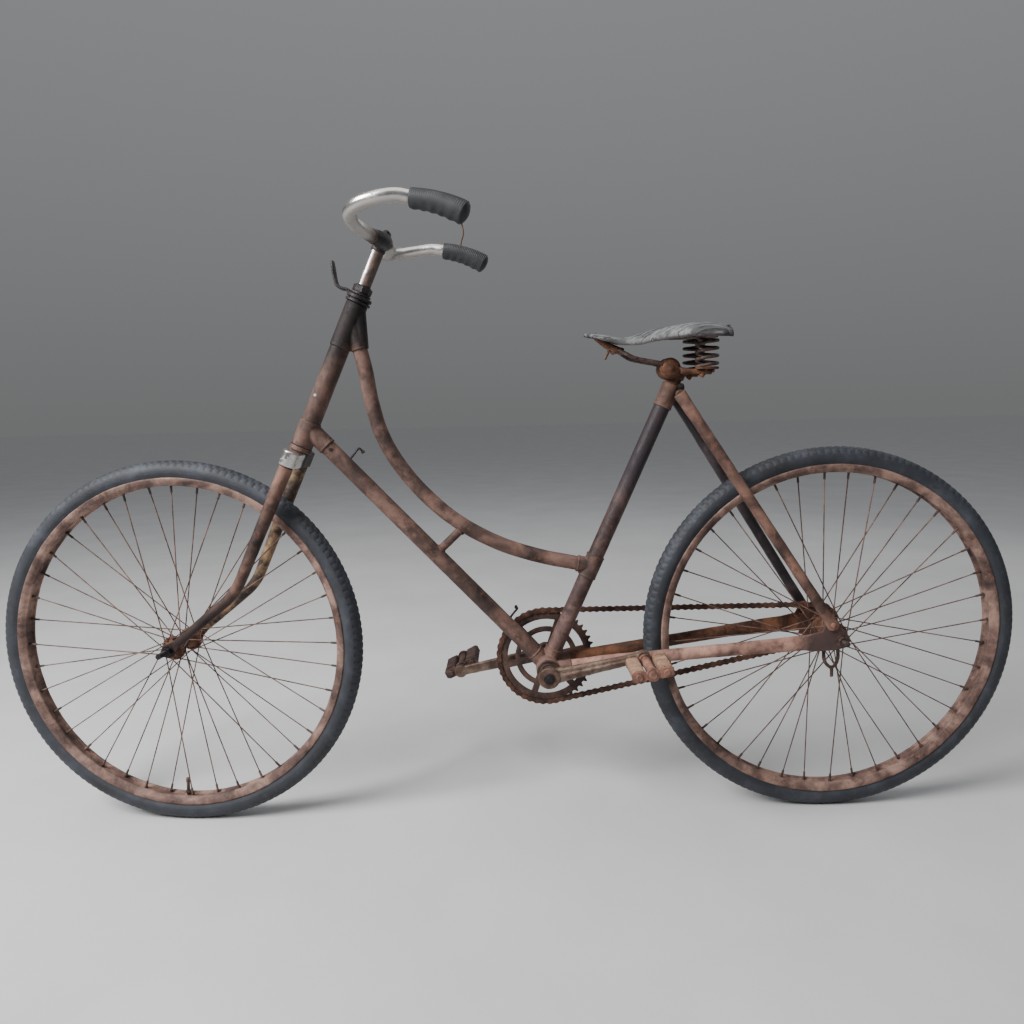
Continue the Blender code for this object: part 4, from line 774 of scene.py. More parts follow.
def add_spokes(word, matrix, body, left_y, right_y, flange_r, barrel_r, ends, crossings, phase):
    """A hub turned from one piece, its spokes with their bent heads, and the nipples."""
    hub = Shape()
    flange = 0.0022
    neck = 0.0095
    left_end, right_end = ends
    profile = [(AXLE_R + 0.001, left_end), (neck, left_end), (neck + 0.0015, left_end - 0.0015),
               (neck + 0.0015, left_y + flange + 0.004), (barrel_r, left_y + flange + 0.0015),
               (flange_r - 0.006, left_y + flange), (flange_r - 0.0008, left_y + flange),
               (flange_r, left_y + flange - 0.0008), (flange_r, left_y - flange + 0.0008),
               (flange_r - 0.0008, left_y - flange), (barrel_r + 0.004, left_y - flange),
               (barrel_r, left_y - flange - 0.005), (barrel_r - 0.0012, 0.5 * (left_y + right_y)),
               (barrel_r, right_y + flange + 0.005), (barrel_r + 0.004, right_y + flange),
               (flange_r - 0.0008, right_y + flange), (flange_r, right_y + flange - 0.0008),
               (flange_r, right_y - flange + 0.0008), (flange_r - 0.0008, right_y - flange),
               (flange_r - 0.006, right_y - flange), (barrel_r, right_y - flange - 0.0015),
               (neck + 0.0015, right_y - flange - 0.004), (neck + 0.0015, right_end + 0.0015),
               (neck, right_end), (AXLE_R + 0.001, right_end)]
    hub.turn(profile, matrix, 56, ring=True)
    piece(f"{word}_hub_shell", hub, M["rust"], body, [f"{word}_hub_and_spokes"],
          rough=0.0003, grain=0.006)
    wires = Shape()
    nipples = Shape()
    side_count = SPOKES // 2
    step = 2 * math.pi / side_count
    hole_r = flange_r - 0.0035
    for side, flange_y in ((1, left_y), (-1, right_y)):
        for i in range(side_count):
            lead = 1 if i % 2 else -1
            hub_angle = phase + step * i + (step / 2 if side < 0 else 0)
            rim_angle = hub_angle + lead * crossings * step
            out = flange + SPOKE_R
            hole = Vector((hole_r * math.cos(hub_angle), hole_r * math.sin(hub_angle), flange_y))
            start = hole + Vector((0, 0, lead * out))
            end = Vector((RIM_INNER_R * math.cos(rim_angle), RIM_INNER_R * math.sin(rim_angle),
                          side * 0.003))
            run = (end - start).normalized()
            path = [hole - Vector((0, 0, lead * (out + 0.0012))), hole, start + run * 0.0022,
                    start + run * 0.010, end]
            wires.sweep([matrix @ p for p in path], SPOKE_R, side=(matrix.to_3x3() @ Vector((0.3, 0.2, 1))),
                        sides=8)
            wires.rod(matrix @ (hole - Vector((0, 0, lead * (flange + 0.0016)))),
                      matrix @ (hole - Vector((0, 0, lead * flange))), 0.0019, 8)
            foot = end - run * NIPPLE_L
            nipples.turn([(0, 0), (NIPPLE_R * 0.75, 0), (NIPPLE_R, 0.001), (NIPPLE_R, NIPPLE_L - 0.003),
                          (NIPPLE_R * 1.5, NIPPLE_L - 0.0015), (NIPPLE_R * 1.5, NIPPLE_L), (0, NIPPLE_L)],
                         matrix @ facing(foot, run, (0, 0, 1)), 8)
    piece(f"{word}_spokes", wires, M["spoke"], body, sharp=60)
    piece(f"{word}_nipples", nipples, M["spring"], body, sharp=50)


def add_axle(word, place, body, tip_y, cone_ends, steered):
    """A threaded axle with cones, washers and six-sided nuts."""
    shape = Shape()
    pitch = 0.0010
    turns = int(2 * AXLE_HALF / pitch)
    profile = [(0.0, AXLE_HALF)]
    for i in range(turns):
        y = AXLE_HALF - 0.0004 - i * pitch
        deep = 0.0004 if abs(y) > cone_ends - 0.01 else 0.0
        profile.append((AXLE_R, y))
        profile.append((AXLE_R - deep, y - pitch / 2))
    profile.append((0.0, -AXLE_HALF))
    across = facing(place, LEFT, UP)
    shape.turn(profile, across, 20)
    for side in (1, -1):
        outer = tip_y + TIP_T
        shape.rod(place + LEFT * side * outer, place + LEFT * side * (outer + 0.0016), 0.0105, 28, 0.0003)
        nut = [Vector((0.0092 * math.cos(math.radians(60 * k + 12)), 0.0092 * math.sin(math.radians(60 * k + 12))))
               for k in range(6)]
        shape.plate(nut, 0.0076, facing(place + LEFT * side * (outer + 0.0054), LEFT, UP), 0.0006)
        shape.rod(place + LEFT * side * cone_ends, place + LEFT * side * (tip_y - 0.0002), 0.0085, 28, 0.0006)
    piece(f"{word}_axle_steel", shape, M["black" if steered else "spring"], body, [f"{word}_axle"], steered=steered)


def add_wheels():
    """Both wheels with their hubs, and the axles that carry them."""
    rear = facing(REAR_AXLE, LEFT, UP)
    front = STEERED @ facing(FRONT_AXLE, LEFT, UP)
    for word, matrix, body in (("rear", rear, "rear_wheel"), ("front", front, "front_wheel")):
        add_tyre(word, matrix, body)
        add_rim(word, matrix, body)
    add_spokes("front", front, "front_wheel", 0.031, -0.031, 0.0215, 0.0125, (0.0405, -0.0405), 3, 0.0)
    add_spokes("rear", rear, "rear_wheel", 0.032, -0.024, 0.0235, 0.0165, (0.0505, -0.0363), 4,
               math.radians(3))
    add_axle("front", FRONT_AXLE, "fork", FRONT_TIP_Y, 0.041, True)
    add_axle("rear", REAR_AXLE, "frame", REAR_TIP_Y, 0.051, False)


# Frame


def tube_end(shape, start, end, radius, wall=LUG_WALL):
    """A socket with a rolled edge at its end."""
    run = (Vector(end) - Vector(start)).normalized()
    length = (Vector(end) - Vector(start)).length
    outer = radius + wall
    shape.turn([(0.0, 0.0), (outer, 0.0), (outer, length - 0.0028), (outer + 0.0007, length - 0.0020),
                (outer + 0.0007, length - 0.0006), (outer, length), (radius - 0.001, length), (0.0, length)],
               facing(start, run), 56)


def add_head():
    """Head tube, its lugs with their sockets, and the cups of its bearings."""
    tube = Shape()
    tube.sweep(straight(head(LOWER_LUG_TOP), head(UPPER_LUG_LOW), 30), HEAD_TUBE_R, sides=64)
    piece("head_tube_paint", tube, M["head"], "frame", ["head_tube"], rough=0.0002, grain=0.03)
    lower = Shape()
    low = CROWN_TOP + 0.0091
    lower.rod(head(low), head(LOWER_LUG_TOP), HEAD_LUG_R, 64, 0.0008)
    meets = head(DOWN_TUBE_MEETS)
    down = (BB - meets).normalized()
    tube_end(lower, meets, meets + down * 0.046, DOWN_TUBE_R)
    piece("head_lug_lower_brazed", lower, M["frame"], "frame", ["head_lug_lower"],
          melt=0.0009, calm=5, rough=0.0002)
    upper = Shape()
    upper.rod(head(UPPER_LUG_LOW), head(UPPER_LUG_TOP), HEAD_LUG_R, 64, 0.0008)
    meets = head(LOOP_MEETS)
    loop = (spot(LOOP_POINTS[0][0], 0, LOOP_POINTS[0][1]) - meets).normalized()
    tube_end(upper, meets, meets + loop * 0.056, LOOP_TUBE_R)
    upper.rod(spot(0.8195, 0, 0.9150), spot(0.8172, 0, 0.8480), 0.0130, 40, 0.0006)
    piece("head_lug_upper_brazed", upper, M["head"], "frame", ["head_lug_upper"],
          melt=0.0009, calm=5)
    cups = Shape()
    base = UPPER_LUG_TOP + 0.0003
    cups.turn([(0.0, base), (CUP_R - 0.0005, base), (CUP_R + 0.0010, base + 0.0010), (CUP_R + 0.0010, base + 0.0043),
               (CUP_R - 0.0010, base + 0.0052), (CUP_R - 0.0028, base + 0.0055),
               (CUP_R - 0.0028, base + 0.0064), (CUP_R - 0.0010, base + 0.0067),
               (CUP_R + 0.0012, base + 0.0076), (CUP_R + 0.0012, base + 0.0116),
               (CUP_R - 0.0004, base + 0.0130), (0.0, base + 0.0130)], facing(head(0), HEAD_UP), 64)
    piece("headset_cup_upper_steel", cups, M["black"], "frame", ["headset_cup_upper"])
    cups = Shape()
    base = CROWN_TOP + 0.0005
    cups.turn([(0.0, base), (CUP_R - 0.0010, base), (CUP_R, base + 0.0012), (CUP_R, base + 0.0040),
               (CUP_R - 0.0012, base + 0.0062), (CUP_R - 0.0018, base + 0.0080), (0.0, base + 0.0080)],
              facing(head(0), HEAD_UP), 64)
    piece("headset_cup_lower_steel", cups, M["frame"], "frame", ["headset_cup_lower"])


def loop_path():
    """The loop tube's middle line between its two sockets."""
    points = [head(LOOP_MEETS)] + [spot(x, 0, z) for x, z in LOOP_POINTS] + [seat_tube(LOOP_END)]
    points[0] = points[0] + (points[1] - points[0]).normalized() * 0.054
    points[-1] = points[-1] + (points[-2] - points[-1]).normalized() * 0.024
    return smooth_path(points, 10)


def add_tubes():
    """The frame's tubes and the lugs between them."""
    path = loop_path()
    shape = Shape()
    shape.sweep(path, LOOP_TUBE_R, sides=56)
    piece("loop_tube_paint", shape, M["frame"], "frame", ["loop_tube"], rough=0.0002, grain=0.03)
    top = head(DOWN_TUBE_MEETS)
    down = (BB - top).normalized()
    shape = Shape()
    shape.sweep(straight(top + down * 0.044, BB - down * 0.032, 60), DOWN_TUBE_R, sides=56)
    piece("down_tube_paint", shape, M["frame"], "frame", ["down_tube"], rough=0.0002, grain=0.03)
    foot = BB - down * 0.286
    across = Vector((down.z, 0, -down.x))
    near = min(path, key=lambda p: abs((p - foot).dot(down)))
    shape = Shape()
    shape.sweep(straight(foot, foot + across * (near - foot).dot(across), 12), 0.0075, sides=40)
    for at in (foot + across * (DOWN_TUBE_R - 0.001),
               foot + across * ((near - foot).dot(across) - LOOP_TUBE_R + 0.001)):
        shape.sweep(straight(at - across * 0.003, at + across * 0.003, 5), [0.0078, 0.0092, 0.0098, 0.0092, 0.0078],
                    sides=40)
    piece("bridge_tube_paint", shape, M["frame"], "frame", ["bridge_tube"], rough=0.0002)
    shape = Shape()
    shape.sweep(straight(seat_tube(0.030), seat_tube(LOOP_END - 0.018), 30), SEAT_TUBE_R, sides=56)
    piece("seat_tube_lower_paint", shape, M["seat_tube"], "frame", ["seat_tube_lower"], rough=0.0002)
    shape = Shape()
    shape.sweep(straight(seat_tube(LOOP_END + 0.018), seat_tube(SEAT_LUG_LOW + 0.003), 50), SEAT_TUBE_R, sides=56)
    piece("seat_tube_upper_paint", shape, M["seat_tube"], "frame", ["seat_tube_upper"], rough=0.0001)
    shape = Shape()
    tube_end(shape, seat_tube(LOOP_END), seat_tube(LOOP_END - MIDDLE_LUG_HALF), SEAT_TUBE_R)
    tube_end(shape, seat_tube(LOOP_END), seat_tube(LOOP_END + MIDDLE_LUG_HALF), SEAT_TUBE_R)
    tube_end(shape, seat_tube(LOOP_END), seat_tube(LOOP_END) + (path[-2] - path[-1]).normalized() * 0.026,
             LOOP_TUBE_R)
    piece("middle_lug_brazed", shape, M["frame"], "frame", ["middle_lug"], melt=0.0008, rough=0.0002)


def add_seat_lug():
    """The lug at the top of the seat tube with its bolt."""
    shape = Shape()
    tube_end(shape, seat_tube(SEAT_TUBE_TOP), seat_tube(SEAT_LUG_LOW), SEAT_TUBE_R)
    ear = spot(SEATSTAY[0][0] + 0.004, 0, SEATSTAY[0][2] + 0.012)
    width = SEATSTAY[0][1] - SEATSTAY_R
    shape.rod(ear - LEFT * width, ear + LEFT * width, 0.0095, 32, 0.0008)
    ear = spot(0.2705, 0, 0.7705)
    shape.rod(ear - LEFT * 0.0115, ear + LEFT * 0.0115, 0.0070, 32, 0.0008)
    piece("seat_lug_brazed", shape, M["tube"], "frame", ["seat_lug"], melt=0.0008, rough=0.0003)
    bolt = Shape()
    at = spot(0.2705, 0, 0.7725)
    bolt.rod(at - LEFT * 0.0170, at + LEFT * 0.0170, 0.0034, 20, 0.0006)
    for side in (1, -1):
        bolt.plate(circle(0.0058, 6, 0.3), 0.0050, facing(at + LEFT * side * 0.0135, LEFT, UP), 0.0006)
    piece("seat_lug_bolt", bolt, M["black"], "frame")


def add_bottom_bracket():
    """The shell round the crank axle, with its four sockets and end rings."""
    shape = Shape()
    shape.rod(BB - LEFT * 0.034, BB + LEFT * 0.034, 0.0212, 64, 0.0010)
    tube_end(shape, BB, BB + (head(DOWN_TUBE_MEETS) - BB).normalized() * 0.034, DOWN_TUBE_R)
    tube_end(shape, BB, seat_tube(0.034), SEAT_TUBE_R)
    for side in (1, -1):
        start = spot(CHAINSTAY[0][0], side * CHAINSTAY[0][1], CHAINSTAY[0][2])
        bend = spot(CHAINSTAY[1][0], side * CHAINSTAY[1][1], CHAINSTAY[1][2])
        inward = (start - bend).normalized()
        tube_end(shape, start + inward * 0.034, start - inward * 0.002, CHAINSTAY_R, 0.0009)
    piece("bottom_bracket_brazed", shape, M["frame"], "frame", ["bottom_bracket_shell"],
          melt=0.0009, calm=5, rough=0.0003)
    rings = Shape()
    for side in (1, -1):
        outer = BB + LEFT * side * 0.0385
        rings.rod(BB + LEFT * side * 0.030, outer, 0.0200, 24, 0.0008)
        rings.rod(outer, outer + LEFT * side * 0.0035, 0.0150, 48, 0.0006)
    piece("bottom_bracket_rings", rings, M["spring"], "frame")


def add_stays():
    """Chain stays that flatten into their dropouts, and seat stays bolted to them."""
    eye = spot(EYE_BOLT[0], 0, EYE_BOLT[1])
    for side, word in ((1, "left"), (-1, "right")):
        path = [spot(x, side * y, z) for x, y, z in CHAINSTAY]
        path = rounded_path(path, 0.15)
        path = path[:-1] + straight(path[-2], path[-1], 24)[1:]
        tail = spot(0.050, side * 0.0600, WHEEL_R - 0.0020)
        path += straight(path[-1], tail, 8)[1:]
        total = len(path) - 1
        sizes = []
        for i in range(len(path)):
            t = i / total
            sizes.append((blend_value(((0, 0.0105), (0.62, 0.0105), (0.9, 0.0042), (1, 0.0030)), t),
                          blend_value(((0, 0.0105), (0.62, 0.0112), (0.9, 0.0138), (1, 0.0140)), t)))
        stay = Shape()
        stay.sweep(path, sizes, sides=48)
        z = WHEEL_R
        outline = [Vector((0.066, z - 0.0165)), Vector((0.066, z + 0.0090)), Vector((0.046, z + 0.0140)),
                   Vector((0.034, z + 0.0165))]
        outline += circle(0.0100, 9, math.radians(15), math.radians(170), EYE_BOLT, False)
        outline += [Vector((-0.0060, z + 0.0180))]
        outline += circle(0.0150, 9, math.radians(120), math.radians(120), (0, z), False)
        outline += [Vector((0.010, z - 0.0175)), Vector((0.040, z - 0.0188))]
        plane = facing(DATUM + LEFT * side * (REAR_TIP_Y + TIP_T / 2), LEFT * -1, (1, 0, 0))
        stay.plate(outline, TIP_T, plane, 0.0008)
        # The far (right) chainstay takes the darker orange rust instead of the near one's finish: painted shade.
        piece(f"chainstay_{word}_steel", stay, M["stay" if side > 0 else "rust"], "frame", [f"chainstay_{word}"],
              melt=0.0010, calm=4, rough=0.0003)
        top = spot(SEATSTAY_CAP[0], side * SEATSTAY_CAP[1], SEATSTAY_CAP[2])
        foot = spot(SEATSTAY[1][0], side * SEATSTAY[1][1], SEATSTAY[1][2])
        tab_y = side * (REAR_TIP_Y + TIP_T + 0.0028)
        eye_at = Vector((eye.x, tab_y, eye.z))
        path = straight(top, foot, 40) + straight(foot, eye_at, 6)[1:]
        total = len(path) - 1
        sizes = [(blend_value(((0, 0.0050), (0.06, 0.0092), (0.10, 0.0098), (0.82, 0.0090), (0.92, 0.0048),
                               (1, 0.0024)), i / total),
                  blend_value(((0, 0.0112), (0.06, 0.0104), (0.10, 0.0098), (0.82, 0.0090), (0.92, 0.0098),
                               (1, 0.0098)), i / total)) for i in range(len(path))]
        stay = Shape()
        stay.sweep(path, sizes, sides=44)
        stay.rod(eye_at - LEFT * side * 0.0022, eye_at + LEFT * side * 0.0024, 0.0102, 40, 0.0006)
        # The far (right) seat stay takes the darker paint: painted shade.
        piece(f"seatstay_{word}_steel", stay, M["tube" if side > 0 else "shaded_far_stay_paint"], "frame", [f"seatstay_{word}"],
              melt=0.0010, calm=4, rough=0.0003)
        bolt = Shape()
        head_at = eye_at + LEFT * side * 0.0022
        bolt.turn([(0.0, 0.0042), (0.0028, 0.0038), (0.0050, 0.0022), (0.0054, 0.0), (0.0, 0.0)],
                  facing(head_at, LEFT * side, UP), 28)
        piece(f"seatstay_bolt_{word}", bolt, M["pedal"], "frame")


# Steering


def add_fork():
    """Chrome crown, blades with their flattened tips, and the locknut."""
    crown = Shape()
    outline = (circle(0.0155, 17, 0, math.pi, (0, 0.036), False)
               + circle(0.0155, 17, math.pi, math.pi, (0, -0.036), False))
    low = CROWN_LOW + 0.0060
    crown.plate(outline, CROWN_TOP - low, facing(head((CROWN_TOP + low) / 2), HEAD_UP, (1, 0, 0)), 0.0016)
    crown.rod(head(low), head(CROWN_TOP), 0.0168, 56, 0.0015)
    piece("fork_crown_chrome", crown, M["crown"], "fork", ["fork_crown"], steered=True,
          melt=0.0009, calm=3)
    corner = head(FORK_BEND_AT)
    tip_run = (FRONT_AXLE - corner).normalized()
    top_length = CROWN_LOW - FORK_BEND_AT
    for side, word in ((1, "left"), (-1, "right")):
        tip_y = FRONT_TIP_Y + TIP_T / 2
        share = top_length / (top_length + (FRONT_AXLE - corner).length)
        bend_y = BLADE_TOP_Y + (tip_y - BLADE_TOP_Y) * share
        top = head(CROWN_LOW + 0.004)
        end = FRONT_AXLE - tip_run * 0.013
        points = [Vector((top.x, side * BLADE_TOP_Y, top.z)), Vector((corner.x, side * bend_y, corner.z)),
                  Vector((end.x, side * tip_y, end.z))]
        path = rounded_path(points, FORK_BEND_R)
        path = straight(path[0], path[1], 24)[:-1] + path[1:-1] + straight(path[-2], path[-1], 20)[1:]
        total = len(path) - 1
        sizes = [(blend_value(((0, 0.0118), (0.86, 0.0080), (0.95, 0.0050), (1, 0.0028)), i / total),
                  blend_value(((0, 0.0122), (0.86, 0.0080), (0.95, 0.0074), (1, 0.0078)), i / total))
                 for i in range(len(path))]
        blade = Shape()
        blade.sweep(path, sizes, sides=48)
        plane = facing(Vector((FRONT_AXLE.x, side * tip_y, FRONT_AXLE.z)), LEFT * -1, tip_run)
        outline = circle(0.0128, 17, math.radians(-120), math.radians(240), (0, 0), False)
        outline += [Vector((-0.020, 0.0070)), Vector((-0.020, -0.0070))]
        blade.plate(outline, TIP_T, plane, 0.0007)
        # The far blade takes the darker copy of the fork's rust: painted shade.
        piece(f"fork_blade_{word}_steel", blade, M["fork" if side > 0 else "shaded_far_fork"], "fork", [f"fork_blade_{word}"],
              steered=True, melt=0.0009, calm=4, rough=0.0002)
    nut = Shape()
    low = LOCKNUT_LOW + 0.0004
    nut.turn([(0.0, low), (LOCKNUT_R - 0.002, low), (LOCKNUT_R - 0.002, low + 0.0060), (0.0, low + 0.0060)],
             facing(head(0), HEAD_UP), 48)
    hexagon = circle(LOCKNUT_R, 8, 0.25)
    height = LOCKNUT_T - 0.0105
    nut.plate(hexagon, height, facing(head(low + 0.0045 + height / 2), HEAD_UP, (1, 0, 0)), 0.0012)
    nut.turn([(0.0, low + LOCKNUT_T - 0.0045), (STEM_R + 0.0018, low + LOCKNUT_T - 0.0045),
              (STEM_R + 0.0026, low + LOCKNUT_T - 0.0070), (0.0, low + LOCKNUT_T - 0.0070)],
             facing(head(0), HEAD_UP), 40)
    piece("headset_locknut_steel", nut, M["black"], "fork", ["headset_locknut"], steered=True)


def add_lamp_bracket():
    """The bent strip under the locknut that once held a lamp, and its ring."""
    root = head(LOCKNUT_LOW + 0.0024)
    middle = head(LOCKNUT_LOW + LOCKNUT_T / 2)
    points = [root + Vector((0.0135, 0, -0.0035))] + [middle + Vector((x, 0, z)) for x, z in
              ((0.0240, 0.0002), (0.0360, 0.0040), (0.0430, 0.0095), (0.0462, 0.0200),
               (0.0480, 0.0340), (0.0500, 0.0490))]
    strip = Shape()
    path = smooth_path(points, 6)
    total = len(path) - 1
    sizes = [(blend_value(((0, 0.0080), (0.9, 0.0080), (1, 0.0062)), i / total), 0.0026)
             for i in range(len(path))]
    strip.sweep(path, sizes, sides=28, power=5.0)
    strip.turn([(STEM_R + 0.002, -0.0015), (LOCKNUT_R + 0.001, -0.0015), (LOCKNUT_R + 0.0014, 0.0),
                (LOCKNUT_R + 0.001, 0.0015), (STEM_R + 0.002, 0.0015)], facing(root, HEAD_UP), 48, ring=True)
    piece("lamp_bracket_steel", strip, M["black"], "fork", ["lamp_bracket"], steered=True)


def bar_path():
    """The handlebar's middle line, from its right grip to its left."""
    half = smooth_path([spot(*p) for p in BAR_POINTS], 8)
    run = (spot(*GRIP_END) - half[-1]).normalized()
    half.append(half[-1] + run * 0.012)
    mirrored = [Vector((p.x, -p.y, p.z)) for p in half[:0:-1]]
    return mirrored + half


def add_handlebar():
    """Chrome stem, dark clamp with its bolt, swept bar and two grips."""
    stem = Shape()
    clamp = spot(*BAR_POINTS[0])
    reach = (clamp - head(0)).dot(HEAD_UP)
    stem.rod(head(LOCKNUT_LOW + LOCKNUT_T - 0.010), head(reach - 0.006), STEM_R, 48, 0.0004)
    piece("stem_quill", stem, M["stem"], "fork", steered=True)
    lug = Shape()
    ahead = clamp + Vector((0.0022, 0, 0))
    lug.rod(head(reach - 0.020), head(reach - 0.004), STEM_R + 0.0010, 48, 0.0008)
    lug.rod(ahead - LEFT * 0.007, ahead + LEFT * 0.019, 0.0138, 48, 0.0012)
    wrap = [p for p in bar_path() if -0.008 < p.y < 0.052]
    total = len(wrap) - 1
    lug.sweep(wrap, [blend_value(((0, 0.0122), (0.1, 0.0136), (0.5, 0.0138), (0.8, 0.0130), (1, 0.0120)), i / total)
                     for i in range(len(wrap))], side=UP, sides=48)
    back = clamp + Vector((-0.0050, 0, 0.0120))
    lug.rod(back - LEFT * 0.006, back + LEFT * 0.010, 0.0060, 32, 0.001)
    piece("stem_clamp_steel", lug, M["black"], "fork", ["stem"], steered=True,
          melt=0.0009, calm=4, rough=0.0004)
    bolt = Shape()
    bolt.rod(back - LEFT * 0.011, back + LEFT * 0.0155, 0.0032, 20, 0.0005)
    bolt.plate(circle(0.0046, 6, 0.4), 0.004, facing(back + LEFT * 0.0125, LEFT, UP), 0.0006)
    bolt.plate(circle(0.0046, 6, 0.1), 0.004, facing(back - LEFT * 0.0085, LEFT, UP), 0.0006)
    piece("stem_bolt", bolt, M["black"], "fork", steered=True)
    bar = Shape()
    bar.sweep(bar_path(), BAR_R, side=UP, sides=48)
    piece("handlebar_chrome", bar, M["bar"], "fork", ["handlebar"], steered=True)
    for side, word in ((1, "left"), (-1, "right")):
        add_grip(side, word)


def add_grip(side, word):
    """A rubber grip: finger bumps below, fine ribs above and a thick rounded end."""
    half = smooth_path([spot(*p) for p in BAR_POINTS], 8)
    start = half[-1]
    end = spot(*GRIP_END)
    start = Vector((start.x, side * start.y, start.z))
    end = Vector((end.x, side * end.y, end.z))
    run = (end - start) * (1.0 if side > 0 else 0.95)
    bow = UP * 0.0045
    count = 180
    path = []
    sizes = []
    for i in range(count + 1):
        t = i / count
        path.append(start + run * t + bow * math.sin(math.pi * t))
        body = blend_value(((0, 0.0137), (0.55, 0.0150), (0.80, 0.0160), (0.93, 0.0160), (1, 0.0150)), t)
        rounded = math.sqrt(max(0.0, 1 - max(0.0, (t - 0.92) / 0.08) ** 2 * 0.85))
        rounded *= math.sqrt(max(0.0, 1 - max(0.0, (0.02 - t) / 0.02) ** 2 * 0.16))
        sizes.append(body * rounded)

    def bumps(t, angle):
        below = max(0.0, math.sin(angle) * BUMP_SIGN)
        wave = 0.5 - 0.5 * math.cos(2 * math.pi * t * 6)
        rib = 0.045 * math.sin(2 * math.pi * t * 28) * max(0.0, -math.sin(angle) * BUMP_SIGN)
        return 1.0 + below ** 3 * (0.09 * wave + 0.08) + rib

    shape = Shape()
    shape.sweep(path, sizes, side=LEFT, sides=64, shape=bumps)
    piece(f"grip_{word}_rubber", shape, M["grip"], "fork", [f"grip_{word}"], steered=True, sharp=70)


BUMP_SIGN = 1


# Saddle


def saddle_section(x):
    """Half width, height and edge drop of the leather at x, on a smooth curve through its stations."""
    rows = SADDLE_STATIONS
    for i in range(len(rows) - 1):
        if rows[i + 1][0] <= x <= rows[i][0]:
            before = rows[max(i - 1, 0)]
            after = rows[min(i + 2, len(rows) - 1)]
            t = (rows[i][0] - x) / (rows[i][0] - rows[i + 1][0])
            result = []
            for a, b, c, d in zip(before[1:], rows[i][1:], rows[i + 1][1:], after[1:]):
                result.append(0.5 * (2 * b + (c - a) * t + (2 * a - 5 * b + 4 * c - d) * t * t
                                     + (3 * b - a - 3 * c + d) * t ** 3))
            return result
    return list(rows[-1][1:])


def add_saddle():
    """Weathered leather over its plate, with long grooves and a curled edge."""
    x_front = SADDLE_STATIONS[0][0]
    x_back = SADDLE_STATIONS[-1][0]
    rows = 110
    across = 72
    top = []
    low = []
    for r in range(rows + 1):
        x = x_front + (x_back - x_front) * (1 - math.cos(math.pi * r / rows)) / 2
        half, height, drop = saddle_section(x)
        upper = []
        under = []
        for i in range(across + 1):
            u = 1 - 2 * i / across
            y = half * math.sin(u * math.pi / 2)
            z = height - drop * abs(u) ** 2.6 * (1.12 if u > 0 else 0.62)
            wobble = noise.noise(Vector((x * 18, y * 30, 3.1))) * 0.5
            groove = math.cos(2 * math.pi * (u * 5.5 + wobble))
            fade = min(1.0, max(0.0, (1 - abs(u)) * 4)) * min(1.0, r / 8, (rows - r) / 8)
            dent = noise.noise(Vector((x * 26, y * 26, 0.4))) * 0.0012
            push = (-0.0014 * max(0.0, groove) ** 6 + dent) * fade
            ripple = 0.0003 * math.sin(x * 210 + 1.5) * max(0.0, abs(u) - 0.8) / 0.2
            upper.append(spot(x, y, z + push + ripple))
            thick = SADDLE_T * blend_value(((0.0, 0.55), (0.35, 0.75), (0.6, 1.0)), r / rows)
            under.append(spot(x, y * 0.985, z + push + ripple - thick * (1 - 0.35 * abs(u) ** 3)))
        top.append(upper)
        low.append(under)
    shape = Shape()
    shape.skin([a + b[::-1] for a, b in zip(top, low)])
    piece("saddle_top", shape, M["leather"], "frame", ["saddle_leather"], sharp=55)
    plate = Shape()
    upper = []
    for x in (0.2720, 0.2600, 0.2400, 0.2200, 0.2050, 0.1960):
        half, height, drop = saddle_section(x)
        row = []
        lower = []
        for i in range(25):
            u = (1 - 2 * i / 24) * 0.74
            z = height - drop * abs(u) ** 2.6 - 0.0052
            row.append(spot(x, half * math.sin(u * math.pi / 2), z))
            lower.append(spot(x, half * math.sin(u * math.pi / 2), z - 0.0022))
        upper.append(row + lower[::-1])
    plate.skin(upper)
    piece("saddle_plate_steel", plate, M["spring"], "frame", ["saddle_plate"])
    rivets = Shape()
    for x, u in ((0.2080, 0.62), (0.2050, 0.0), (0.2080, -0.62), (0.4180, 0.3), (0.4180, -0.3), (0.2000, 0.34),
                 (0.2000, -0.34)):
        half, height, drop = saddle_section(x)
        at = spot(x, half * math.sin(u * math.pi / 2), height - drop * abs(u) ** 2.6 - 0.0006)
        rivets.turn([(0.0, 0.0018), (0.0030, 0.0013), (0.0046, 0.0), (0.0, 0.0)], facing(at, UP, LEFT), 20)
    piece("saddle_rivets", rivets, M["spring"], "frame")


